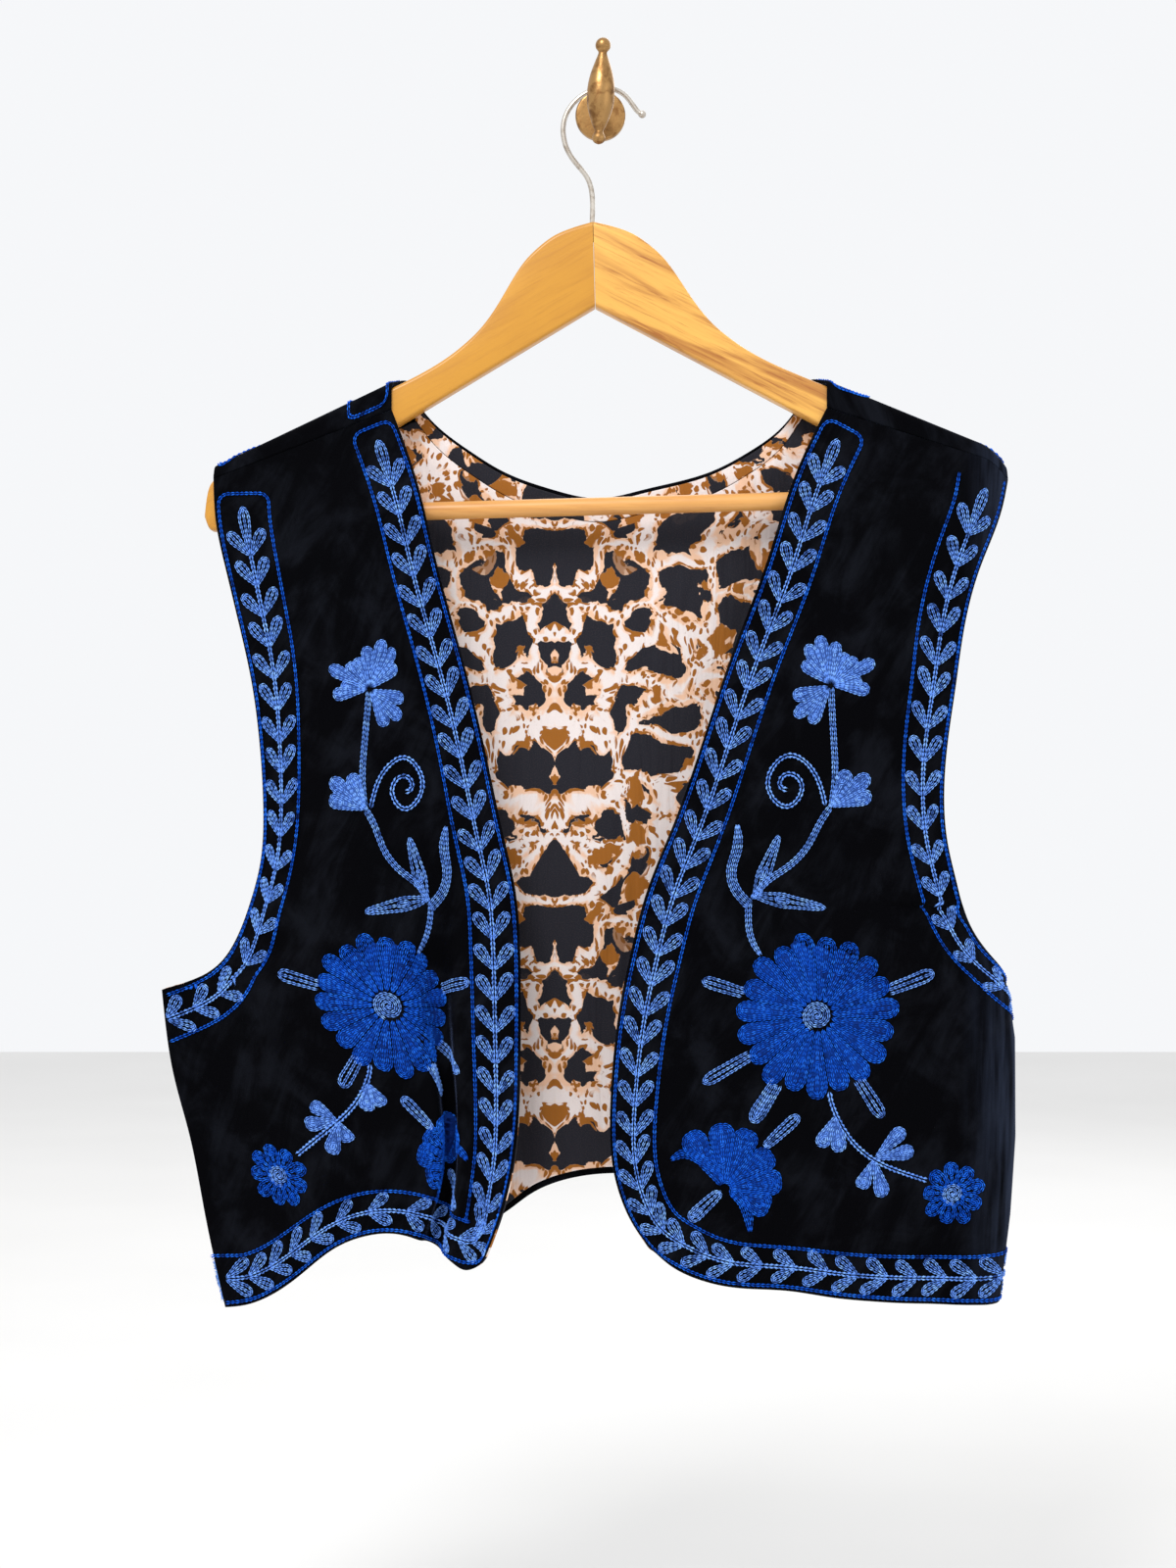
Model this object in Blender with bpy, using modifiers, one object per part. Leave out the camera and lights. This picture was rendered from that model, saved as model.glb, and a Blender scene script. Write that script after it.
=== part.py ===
"""Open velvet vest with a printed lining, on a wooden hanger that hangs from a brass wall hook.

Metres, +Z up. The origin is the middle of the wall rose's back face, +Y points into the wall,
and the vest faces -Y. Left and right are the wearer's. The tables below are in millimetres.
"""

import math

import bmesh
import bpy
import numpy as np

MM = 0.001

# Cloth walls and the gaps between pieces
VELVET = 2.0
LINING = 1.0
GAP = 0.3
SEAM_GAP = 1.0
SIDE_SEAM_GAP = 1.5

# Wooden hanger: its crown is the top of the mitre between the two arms
CROWN_X = -4.6
CROWN_Z = -72.6
HANG_Y = -45.0
ROLL = math.radians(1.6)
SWEEP = math.radians(3.6)
ARM_THICK = 14.0
ARM_EDGE_RADIUS = 2.5
MITRE_DROP = 50.0
MITRE_GAP = 0.3
ARM_TOP = (  # out from the mitre, drop below the crown
    (0.0, 0.5),
    (8.0, 2.6),
    (16.0, 5.2),
    (24.0, 8.9),
    (33.0, 15.6),
    (41.6, 24.3),
    (50.0, 36.8),
    (58.7, 50.6),
    (67.3, 61.6),
    (76.0, 69.8),
    (84.5, 76.4),
    (93.0, 81.9),
    (101.0, 86.4),
    (118.0, 94.6),
    (150.0, 109.2),
    (222.0, 141.7),
    (245.0, 152.0),
)
ARM_NOSE = ((218.0, 139.9), (224.0, 147.0), (228.5, 158.0), (229.5, 168.0), (226.5, 175.5), (219.0, 176.0))

# Trouser bar, between sockets in the arms
BAR_RADIUS = 5.2
BAR_DROP = 167.4
BAR_OUT = 217.0
BAR_SOCKET_CLEAR = 0.35

# Steel hook: wire route in the plane y = HANG_Y, with the wire's bead at its free end
WIRE_RADIUS = 1.5
WIRE_IN_WOOD = 12.0
WIRE_HOLE_CLEAR = 0.5
BEAD_RADIUS = 2.3
WIRE_ROUTE = (  # x, z
    (-4.9, -84.6),
    (-4.9, -70.0),
    (-5.4, -54.0),
    (-8.1, -46.1),
    (-14.3, -38.2),
    (-19.3, -30.6),
    (-21.8, -22.0),
    (-21.5, -13.6),
    (-18.6, -6.4),
    (-14.0, -0.9),
    (-8.1, 3.2),
    (0.0, 5.85),
    (8.6, 5.0),
    (14.0, 1.9),
    (18.4, -3.3),
    (22.6, -8.4),
    (26.4, -10.1),
)

# Brass wall hook
STEM_RADIUS = 4.0
ROSE_RADIUS = 15.0
ROSE_THICK = 5.0
SPINDLE_Y = -66.0
SPINDLE_TILT = math.radians(2.7)
SPINDLE = (  # height above the stem, radius, from the top ball down
    (31.0, 0.0),
    (30.1, 2.4),
    (28.4, 3.9),
    (26.4, 4.4),
    (24.3, 3.9),
    (22.3, 2.5),
    (20.6, 2.8),
    (17.0, 4.1),
    (11.0, 6.1),
    (4.0, 7.6),
    (-3.0, 8.0),
    (-10.0, 7.2),
    (-16.5, 5.2),
    (-21.5, 3.1),
    (-23.2, 2.4),
    (-24.8, 3.0),
    (-27.0, 3.8),
    (-29.4, 3.0),
    (-30.9, 0.0),
)

# Shoulders: the back comes over the arm and meets the front on the arm's front face
NECK_OUT = {"right": 119.4, "left": 132.7}
TIP_OUT = {"right": 223.3, "left": 235.3}
RIDGE_CLEAR = 3.6
FRONT_FACE = 9.4
BACK_FACE = 12.5
RIDGE_RADIUS = 5.4
SEAM_DROP_NECK = 17.0
SEAM_DROP_TIP = 7.5
STRAP_BACK_DROP = 10.0
NECK_FLARE = 10.0
DROOP_FROM = 221.0
DROOP = 8.5

# Outlines as they hang, seen from the front: x, z
RIGHT_EDGE = (
    (-106, -226),
    (-94, -275),
    (-82, -319),
    (-69, -370),
    (-56, -430),
    (-49, -462),
    (-46, -501),
    (-46, -554),
    (-47, -586),
    (-50, -614),
    (-57, -644),
    (-65, -666),
)
RIGHT_HEM = (
    (-65, -666),
    (-71, -677),
    (-78, -680),
    (-86, -676),
    (-104, -665),
    (-120, -661),
    (-137, -663),
    (-154, -670),
    (-171, -683),
    (-195, -700),
    (-209, -705),
    (-219, -706),
)
RIGHT_ARMHOLE = (
    (-222, -251),
    (-217, -276),
    (-209, -310),
    (-202, -344),
    (-198, -378),
    (-196, -418),
    (-198, -446),
    (-204, -469),
    (-212, -490),
    (-223, -506),
    (-238, -515),
    (-256, -521),
)
RIGHT_SIDE = ((-256, -521), (-249, -571), (-240, -605), (-231, -651), (-219, -706))
LEFT_EDGE = (
    (111, -225),
    (96, -271),
    (76, -324),
    (59, -374),
    (41, -425),
    (27, -460),
    (17, -497),
    (10, -532),
    (6, -570),
    (5, -600),
    (7, -622),
    (11, -637),
    (19, -654),
    (28, -666),
)
LEFT_HEM = (
    (28, -666),
    (40, -677),
    (53, -684),
    (66, -688),
    (82, -690),
    (107, -691),
    (134, -695),
    (161, -698),
    (188, -700),
    (218, -701),
    (252, -699),
)
LEFT_ARMHOLE = (  # as if unrolled flat round the side
    (231, -243),
    (219, -276),
    (210, -310),
    (205, -344),
    (200, -378),
    (198, -407),
    (200, -435),
    (205, -457),
    (211, -478),
    (218, -491),
    (229, -503),
    (244, -513),
    (259, -519),
)
LEFT_SIDE = ((259, -519), (262, -548), (262, -605), (258, -650), (252, -699))
NECK_SCOOP = (
    (-99, -188),
    (-76, -206),
    (-58, -217),
    (-28, -228),
    (-1, -233),
    (25, -228),
    (66, -217),
    (87, -206),
    (106, -192),
)
BACK_ARMHOLE_RIGHT = (
    (-212, -264),
    (-201, -321),
    (-193, -378),
    (-191, -418),
    (-193, -447),
    (-201, -472),
    (-213, -497),
    (-234, -514),
    (-256, -521),
)
BACK_ARMHOLE_LEFT = (
    (226, -252),
    (213, -298),
    (204, -344),
    (198, -378),
    (196, -407),
    (197, -435),
    (202, -464),
    (211, -490),
    (220, -509),
)
BACK_HEM = (
    (-219, -706),
    (-186, -686),
    (-158, -670),
    (-123, -662),
    (-94, -661),
    (-62, -657),
    (-40, -642),
    (-13, -632),
    (8, -630),
    (50, -634),
    (108, -650),
    (166, -675),
    (226, -699),
)

# The side of the left front rolls round to the back on this radius
ROLL_RADIUS = 11.0
ROLL_START = ((-470, 214), (-500, 221), (-526, 226), (-548, 229), (-605, 229), (-650, 226), (-700, 220))

# How far forward the fronts hang: y at four places from the front edge to the side
FRONT_HANG_SHARES = (0.0, 0.33, 0.68, 1.0)
RIGHT_HANG = (  # share of the length, edge, inner, outer, side
    (0.00, -68, -70, -70, -67),
    (0.18, -71, -75, -74, -64),
    (0.36, -73, -79, -77, -59),
    (0.52, -75, -80, -77, -54),
    (0.64, -77, -80, -74, -50.2),
    (0.80, -82, -78, -72, -50.2),
    (0.91, -86, -72, -68, -50.2),
    (1.00, -88, -66, -64, -50.2),
)
LEFT_HANG = (
    (0.00, -68, -70, -70, -68),
    (0.18, -72, -75, -75, -68),
    (0.36, -73, -79, -79, -69),
    (0.52, -75, -81, -80, -70),
    (0.64, -77, -82, -79, -70),
    (0.80, -79, -82, -78, -70),
    (1.00, -80, -79, -76, -70),
)
UNDERARM = 0.64
TOP_FADE = 0.45
HEM_FADE = 0.58
SEWN_FROM = 0.46
ARM_TO_HANG = 0.13
SIDE_EASE = 70.0

# Soft vertical folds: x of the fold, half width, depth at the hem (+ is backwards), share where it starts
RIGHT_FOLDS = ((-150, 22, 4.0, 0.55), (-205, 16, -3.0, 0.62), (-70, 9, 3.0, 0.25))
LEFT_FOLDS = ((60, 20, 3.0, 0.60), (125, 26, -3.5, 0.50), (196, 14, 4.0, 0.60))
BACK_FOLDS = (
    (-165, 28, 5.0, 0.20),
    (-55, 20, 5.0, 0.40),
    (45, 20, 4.0, 0.15),
    (108, 26, -4.0, 0.35),
    (172, 24, 4.0, 0.40),
)

# The pleat that swallows part of the right front beside its edge band
PLEAT_FROM = 0.16
PLEAT_TO = 0.35
PLEAT_WIDTH = 232.0
PLEAT_ANGLES = (  # share of the length, steepest turn of the cloth in degrees
    (0.00, 0),
    (0.46, 0),
    (0.58, 35),
    (0.70, 68),
    (0.82, 90),
    (0.92, 92),
    (1.00, 70),
)

# Back panel
BACK_HANG = -33.0
SCOOP_Y = -36.0
BACK_TO_HANG = 0.34
BACK_SIDE_RIGHT = -45.8
NECK_SHARES = (0.235, 0.762)
FACING_SHARE = 0.03
LINING_GAP = 1.4
LINING_TOP_SHARE = 0.0325
LINING_HEM_SHARE = 0.992
LINING_INSET_ARMHOLE = 0.012
LINING_INSET_SIDE = 0.075


def ease(x):
    """0 below 0, 1 above 1, with a smooth turn between."""
    x = np.clip(x, 0.0, 1.0)
    return x * x * (3 - 2 * x)


def natural_cubic(knots, values):
    """The smooth function through the values at the knots, with no bend at its two ends."""
    knots = np.asarray(knots, float)
    values = np.asarray(values, float)
    columns = values.reshape(len(knots), -1)
    steps = np.diff(knots)
    slopes = np.diff(columns, axis=0) / steps[:, None]
    system = np.eye(len(knots))
    load = np.zeros_like(columns)
    for i in range(1, len(knots) - 1):
        system[i, i - 1 : i + 2] = steps[i - 1], 2 * (steps[i - 1] + steps[i]), steps[i]
        load[i] = 6 * (slopes[i] - slopes[i - 1])
    bends = np.linalg.solve(system, load)

    def at(x):
        x = np.asarray(x, float)
        flat = x.reshape(-1)
        i = np.clip(np.searchsorted(knots, flat, side="right") - 1, 0, len(knots) - 2)
        width = steps[i][:, None]
        after = (flat - knots[i])[:, None]
        before = width - after
        found = (bends[i] * before**3 + bends[i + 1] * after**3) / (6 * width)
        found += (columns[i] / width - bends[i] * width / 6) * before
        found += (columns[i + 1] / width - bends[i + 1] * width / 6) * after
        return found.reshape(x.shape + values.shape[1:])

    return at


def smooth_line(rows):
    """The smooth line through the rows, as a function of the share of its chord length."""
    rows = np.asarray(rows, float)
    lengths = np.linalg.norm(np.diff(rows, axis=0), axis=1)
    shares = np.concatenate([[0.0], np.cumsum(lengths)])
    return natural_cubic(shares / shares[-1], rows)


def arm_place(side, out, drop):
    """x, y, z of a place on an arm's middle plane, out from the mitre and down from the crown."""
    across = (1 if side == "left" else -1) * out * math.cos(SWEEP)
    x = CROWN_X + across * math.cos(ROLL) + drop * math.sin(ROLL)
    y = HANG_Y - out * math.sin(SWEEP) + 0 * drop
    z = CROWN_Z + across * math.sin(ROLL) - drop * math.cos(ROLL)
    return np.stack([x, y, z], axis=-1)


arm_drop = natural_cubic(*zip(*ARM_TOP))


def arm_depth(x):
    """y of the arms' middle plane below or above a place x."""
    return HANG_Y - np.abs(x - CROWN_X) * math.tan(SWEEP)


def shoulder_base(side, share, inward=0.0):
    """The arm's top line from the neck, 0, to the shoulder tip, 1. Cloth past the arm's end droops."""
    out = NECK_OUT[side] + (TIP_OUT[side] - NECK_OUT[side]) * np.asarray(share, float) - inward
    beyond = np.maximum(out - DROOP_FROM, 0) / (TIP_OUT["left"] - DROOP_FROM)
    return arm_place(side, out, arm_drop(out) + DROOP * beyond**2)


def shoulder_seam(side, share):
    """The seam line on the arm's front face."""
    line = shoulder_base(side, share)
    drop = SEAM_DROP_NECK + (SEAM_DROP_TIP - SEAM_DROP_NECK) * np.asarray(share, float)
    line[..., 1] -= FRONT_FACE
    line[..., 2] += RIDGE_CLEAR - drop
    return line


def strap(side, shares, turns=3):
    """The back's shoulder strap, from the seam over the ridge: an array of shares by places."""
    quarter = np.linspace(0, math.pi / 2, turns + 1)
    front = -FRONT_FACE + RIDGE_RADIUS * (1 - np.cos(quarter))
    back_side = BACK_FACE - RIDGE_RADIUS * (1 - np.sin(quarter))
    y = np.concatenate([[-FRONT_FACE], front, back_side, [BACK_FACE]])
    lift = RIDGE_CLEAR - RIDGE_RADIUS
    rise = lift + RIDGE_RADIUS * np.sin(quarter)
    fall = lift + RIDGE_RADIUS * np.cos(quarter)
    z = np.concatenate([[0.0], rise, fall, [RIDGE_CLEAR - STRAP_BACK_DROP]])
    z = np.repeat(z[None, :], len(shares), axis=0)
    z[:, 0] = (shoulder_seam(side, shares) - shoulder_base(side, shares))[:, 2]
    flare = ((y + FRONT_FACE) / (BACK_FACE + FRONT_FACE)) ** 2
    inward = NECK_FLARE * (1 - shares[:, None]) ** 2 * flare
    points = shoulder_base(side, shares[:, None] + 0 * inward, inward)
    points[..., 1] += y
    points[..., 2] += z
    return points


def patch(left, right, top, bottom, u, v):
    """Places between four border lines, blended so that every border is kept."""
    beside = 1 - u[..., None], u[..., None]
    across = beside[0] * left(v) + beside[1] * right(v)
    above = top(u) - beside[0] * top(0.0) - beside[1] * top(1.0)
    below = bottom(u) - beside[0] * bottom(0.0) - beside[1] * bottom(1.0)
    from_top = 1 - ease(v / TOP_FADE)[..., None]
    from_hem = ease((v - HEM_FADE) / (1 - HEM_FADE))[..., None]
    return across + above * from_top + below * from_hem


def side_line(armhole, seam):
    """The armhole and the side seam as one line, with the underarm corner at UNDERARM."""
    above = smooth_line(armhole)
    below = smooth_line(seam)

    def at(v):
        v = np.asarray(v, float)[..., None]
        upper = above(np.clip(v[..., 0] / UNDERARM, 0, 1))
        lower = below(np.clip((v[..., 0] - UNDERARM) / (1 - UNDERARM), 0, 1))
        return np.where(v < UNDERARM, upper, lower)

    return at


def folds(table, x, v):
    """The depth that the soft vertical folds add."""
    depth = np.zeros_like(x)
    for middle, half_width, at_hem, start in table:
        depth += at_hem * np.exp(-(((x - middle) / half_width) ** 2)) * ease((v - start) / (1 - start))
    return depth


def hang_depth(table, u, v):
    """y of a freely hanging front, read smoothly from its table."""
    table = np.asarray(table, float)
    rows = natural_cubic(table[:, 0], table[:, 1:])(v)
    places = np.asarray(FRONT_HANG_SHARES)
    depth = np.zeros_like(u)
    for k, place in enumerate(places):
        others = np.delete(places, k)
        depth += rows[..., k] * np.prod([(u - o) / (place - o) for o in others], axis=0)
    return depth


def on_arm(x, depth, v):
    """A front's depth: on the arm's front face at the top, hanging freely further down."""
    return (arm_depth(x) - FRONT_FACE) * (1 - ease(v / ARM_TO_HANG)) + depth * ease(v / ARM_TO_HANG)


def right_front(u, v):
    """The right front's outer face. The pleat turns the cloth and takes up width."""
    steps = np.linspace(0, 1, 401)
    angle = np.radians(natural_cubic(*zip(*PLEAT_ANGLES))(v))
    phase = np.clip((steps - PLEAT_FROM) / (PLEAT_TO - PLEAT_FROM), 0, 1)
    turn = angle[..., None] * np.sin(2 * math.pi * phase)
    run = np.cumsum((np.cos(turn[..., 1:]) + np.cos(turn[..., :-1])) / 2, axis=-1) / 400
    sink = np.cumsum((np.sin(turn[..., 1:]) + np.sin(turn[..., :-1])) / 2, axis=-1) / 400
    place = np.clip(u * 400 - 1, 0, 399)
    low = np.floor(place).astype(int)
    part = place - low
    high = np.minimum(low + 1, 399)

    def read(sums):
        lower = np.take_along_axis(sums, low[..., None], -1)[..., 0]
        upper = np.take_along_axis(sums, high[..., None], -1)[..., 0]
        return lower * (1 - part) + upper * part

    across = np.where(u < 1 / 400, u * 400 * run[..., 0], read(run)) / run[..., -1]
    seam = lambda share: shoulder_seam("right", share)[..., ::2] - np.array([0, SEAM_GAP])
    edge = smooth_line([tuple(seam(0.0)), *RIGHT_EDGE])
    side = side_line([tuple(seam(1.0)), *RIGHT_ARMHOLE], RIGHT_SIDE)
    flat = patch(edge, side, seam, smooth_line(RIGHT_HEM), across, v)
    x = flat[..., 0]
    hang = hang_depth(RIGHT_HANG, across, v) + folds(RIGHT_FOLDS, x, v)
    from_side = (1 - across) * (side(v)[..., 0] - edge(v)[..., 0]) * -1
    at_side = hang_depth(RIGHT_HANG, np.ones_like(v), v)
    sewn = ease((v - 0.5) / (UNDERARM - 0.5))
    hang = at_side + (hang - at_side) * (1 - sewn * (1 - ease(from_side / SIDE_EASE)))
    y = on_arm(x, hang + PLEAT_WIDTH * read(sink), v)
    return np.stack([x, y, flat[..., 1]], axis=-1)


def left_front(u, v):
    """The left front's outer face, rolled round the side below the armhole."""
    seam = lambda share: shoulder_seam("left", share)[..., ::2] - np.array([0, SEAM_GAP])
    edge = smooth_line([tuple(seam(0.0)), *LEFT_EDGE])
    side = side_line([tuple(seam(1.0)), *LEFT_ARMHOLE], LEFT_SIDE)
    flat = patch(edge, side, seam, smooth_line(LEFT_HEM), u, v)
    x, z = flat[..., 0], flat[..., 1]
    start = np.interp(-z, *zip(*[(-height, place) for height, place in ROLL_START]), left=1000.0)
    turn = np.clip((x - start) / ROLL_RADIUS, 0, math.pi)
    rolled = np.where(turn > 0, start + ROLL_RADIUS * np.sin(turn), x)
    rolled = rolled - np.maximum(x - start - math.pi * ROLL_RADIUS, 0)
    hang = hang_depth(LEFT_HANG, u, v) + folds(LEFT_FOLDS, x, v)
    near_side = ease((start - x) / 60.0)
    hang = LEFT_HANG[-1][-1] + (hang - LEFT_HANG[-1][-1]) * near_side
    y = on_arm(x, hang, v) + ROLL_RADIUS * (1 - np.cos(turn))
    return np.stack([rolled, y, z], axis=-1)


def back_top(u):
    """The back's upper border behind the arms and along the neck scoop, right to left: x, y, z."""
    low, high = NECK_SHARES
    u = np.asarray(u, float)
    along = u.reshape(-1)
    right = strap("right", 1 - np.clip(along / low, 0, 1))[:, -1]
    left = strap("left", np.clip((along - high) / (1 - high), 0, 1))[:, -1]
    start = strap("right", np.zeros(1))[0, -1]
    end = strap("left", np.zeros(1))[0, -1]
    scoop = smooth_line([tuple(start[::2]), *NECK_SCOOP, tuple(end[::2])])
    share = np.clip((along - low) / (high - low), 0, 1)
    depth = natural_cubic((0, 0.5, 1), (start[1], SCOOP_Y, end[1]))(share)
    middle = np.column_stack([scoop(share)[:, 0], depth, scoop(share)[:, 1]])
    found = np.where(along[:, None] <= low, right, middle)
    found = np.where(along[:, None] >= high, left, found)
    return found.reshape(u.shape + (3,))


def back(u, v):
    """The back panel's outer face below the shoulder straps."""
    top = lambda share: back_top(share)[..., ::2]
    joined = left_front(np.ones(9), np.linspace(UNDERARM, 1, 9))
    seam = [(x - SIDE_SEAM_GAP, z) for x, z in joined[:, ::2]]
    right_side = side_line([tuple(top(0.0)), *BACK_ARMHOLE_RIGHT], RIGHT_SIDE)
    left_side = side_line([tuple(top(1.0)), *BACK_ARMHOLE_LEFT, seam[0]], seam)
    hem = smooth_line([*BACK_HEM[:-1], seam[-1]])
    flat = patch(right_side, left_side, top, hem, u, v)
    x, z = flat[..., 0], flat[..., 1]
    arm = back_top(u)[..., 1]
    hang = arm + (BACK_HANG + folds(BACK_FOLDS, x, v) - arm) * ease(v / BACK_TO_HANG)
    sewn = ease((v - SEWN_FROM) / (UNDERARM - SEWN_FROM))
    at_left = left_front(np.ones_like(v), np.maximum(v, UNDERARM))[..., 1]
    near_right = sewn * (1 - ease((x - right_side(v)[..., 0]) / SIDE_EASE))
    near_left = sewn * (1 - ease((left_side(v)[..., 0] - x) / SIDE_EASE))
    y = hang + (BACK_SIDE_RIGHT - hang) * near_right + (at_left - hang) * near_left
    return np.stack([x, y, z], axis=-1)


def inside(points, distance):
    """The same grid of places moved towards the inside of the vest, against its outer side."""
    along = np.gradient(points, axis=1)
    down = np.gradient(points, axis=0)
    normal = np.cross(along, down)
    normal /= np.linalg.norm(normal, axis=-1, keepdims=True)
    normal *= np.where(normal[..., 1:2] < 0, -1, 1)
    return points - normal * distance


def material(name, colour, roughness, metallic=0.0):
    """A plain material with the piece's colour."""
    made = bpy.data.materials.new(name)
    made.use_nodes = True
    shader = made.node_tree.nodes["Principled BSDF"]
    shader.inputs["Base Color"].default_value = (*colour, 1.0)
    shader.inputs["Roughness"].default_value = roughness
    shader.inputs["Metallic"].default_value = metallic
    return made


def collection(name):
    """A new collection in the scene."""
    made = bpy.data.collections.new(name)
    bpy.context.scene.collection.children.link(made)
    return made


def add_object(name, data, group, finish=None):
    """A new object for the data, in its collection and with its material."""
    made = bpy.data.objects.new(name, data)
    group.objects.link(made)
    if finish:
        made.data.materials.append(finish)
    return made


def cloth(name, grids, thickness, group, finish, faces_back=False):
    """One wall of cloth over grids of places that share their meeting points, thickened inwards."""
    shape = bmesh.new()
    for grid in grids:
        rows, columns = grid.shape[:2]
        corners = [[shape.verts.new(place * MM) for place in row] for row in grid]
        for i in range(rows - 1):
            for j in range(columns - 1):
                loop = [corners[i][j], corners[i + 1][j], corners[i + 1][j + 1], corners[i][j + 1]]
                shape.faces.new(loop if not faces_back else loop[::-1])
    bmesh.ops.remove_doubles(shape, verts=shape.verts, dist=0.01 * MM)
    data = bpy.data.meshes.new(name)
    shape.to_mesh(data)
    shape.free()
    data.shade_smooth()
    made = add_object(name, data, group, finish)
    wall = made.modifiers.new("Wall", "SOLIDIFY")
    wall.thickness = thickness * MM
    wall.offset = -1.0
    return made


def meshed(source, name, group, finish=None):
    """A mesh object from a curve object, with its caps welded, in the curve's place."""
    graph = bpy.context.evaluated_depsgraph_get()
    data = bpy.data.meshes.new_from_object(source.evaluated_get(graph))
    shape = bmesh.new()
    shape.from_mesh(data)
    bmesh.ops.remove_doubles(shape, verts=shape.verts, dist=0.01 * MM)
    bmesh.ops.recalc_face_normals(shape, faces=shape.faces)
    shape.to_mesh(data)
    shape.free()
    data.materials.clear()
    made = add_object(name, data, group, finish)
    made.matrix_world = source.matrix_world
    bpy.data.objects.remove(source)
    return made


def boolean(piece, other, operation):
    """A Boolean of the piece with another mesh object."""
    modifier = piece.modifiers.new(operation.title(), "BOOLEAN")
    modifier.object = other
    modifier.operation = operation


def helper(name, shape, helpers):
    """A cutter from a bmesh, left out of the model."""
    data = bpy.data.meshes.new(name)
    shape.to_mesh(data)
    shape.free()
    made = add_object(name, data, helpers)
    made.hide_render = True
    made.display_type = "WIRE"
    return made


def cylinder(radius, length, sides=20):
    """A closed cylinder along Z, middle at the origin, as a bmesh."""
    shape = bmesh.new()
    bmesh.ops.create_cone(
        shape,
        cap_ends=True,
        segments=sides,
        radius1=radius * MM,
        radius2=radius * MM,
        depth=length * MM,
    )
    return shape


def make_arm(side, group, helpers, finish, frame):
    """One hanger arm: its outline as a flat curve, thickened, rounded, and cut on the mitre."""
    sign = 1 if side == "left" else -1
    outs = np.concatenate([np.linspace(0, 96, 13), np.linspace(118, 206, 4)])
    top = [(-12.0, 0.0)] + [(out, -float(arm_drop(out))) for out in outs]
    nose = [(out, -drop) for out, drop in ARM_NOSE]
    outline = top + nose + [(0.0, -MITRE_DROP), (-12.0, -MITRE_DROP + 4.0)]
    flat = bpy.data.curves.new(f"arm_outline_{side}", "CURVE")
    flat.dimensions = "2D"
    flat.fill_mode = "BOTH"
    flat.extrude = ARM_THICK / 2 * MM
    line = flat.splines.new("POLY")
    line.points.add(len(outline) - 1)
    for point, (out, height) in zip(line.points, outline):
        point.co = (sign * out * MM, height * MM, 0, 1)
    line.use_cyclic_u = True
    source = add_object(f"arm_curve_{side}", flat, helpers)
    arm = meshed(source, f"hanger_arm_{side}", group, finish)
    arm.parent = frame
    arm.rotation_euler = (math.pi / 2, 0, 0)
    arm.data.transform(arm.rotation_euler.to_matrix().to_4x4())
    arm.rotation_euler = (0, 0, -sign * SWEEP)
    rounding = arm.modifiers.new("Rounded edges", "BEVEL")
    rounding.width = ARM_EDGE_RADIUS * MM
    rounding.segments = 2
    rounding.limit_method = "ANGLE"
    rounding.angle_limit = math.radians(60)
    return arm


def make_hanger(group, helpers, wood):
    """Two mitred arms and the trouser bar, tilted a little on the hook."""
    frame = add_object("hanger_frame", None, group)
    frame.location = (CROWN_X * MM, HANG_Y * MM, CROWN_Z * MM)
    frame.rotation_euler = (0, -ROLL, 0)
    ends = {}
    for side in ("right", "left"):
        end = arm_place(side, np.array(BAR_OUT), np.array(BAR_DROP))
        ends[side] = end * MM
    middle = (ends["right"] + ends["left"]) / 2
    bar_length = float(np.linalg.norm(ends["left"] - ends["right"])) / MM
    bar_turn = (0, math.pi / 2 - ROLL, 0)
    bar_shape = cylinder(BAR_RADIUS, bar_length, sides=16)
    data = bpy.data.meshes.new("trouser_bar")
    bar_shape.to_mesh(data)
    bar_shape.free()
    data.shade_smooth()
    data.set_sharp_from_angle(angle=math.radians(40))
    bar = add_object("trouser_bar", data, group, wood)
    bar.location = middle
    bar.rotation_euler = bar_turn
    socket = helper(
        "bar_socket",
        cylinder(BAR_RADIUS + BAR_SOCKET_CLEAR, bar_length + 2 * BAR_SOCKET_CLEAR, sides=16),
        helpers,
    )
    socket.location = middle
    socket.rotation_euler = bar_turn
    hole = helper("hook_hole", cylinder(WIRE_RADIUS + WIRE_HOLE_CLEAR, 2 * WIRE_IN_WOOD + 2, sides=12), helpers)
    hole.location = (WIRE_ROUTE[0][0] * MM, HANG_Y * MM, CROWN_Z * MM)
    for side in ("right", "left"):
        sign = 1 if side == "left" else -1
        arm = make_arm(side, group, helpers, wood, frame)
        half_space = bmesh.new()
        bmesh.ops.create_cube(half_space, size=0.2)
        mitre = helper(f"mitre_{side}", half_space, helpers)
        mitre.parent = frame
        mitre.location = (-sign * (0.1 - MITRE_GAP / 2 * MM), 0, 0)
        boolean(arm, mitre, "DIFFERENCE")
        boolean(arm, hole, "DIFFERENCE")
        boolean(arm, socket, "DIFFERENCE")
        arm.data.shade_smooth()
        arm.data.set_sharp_from_angle(angle=math.radians(35))


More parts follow.
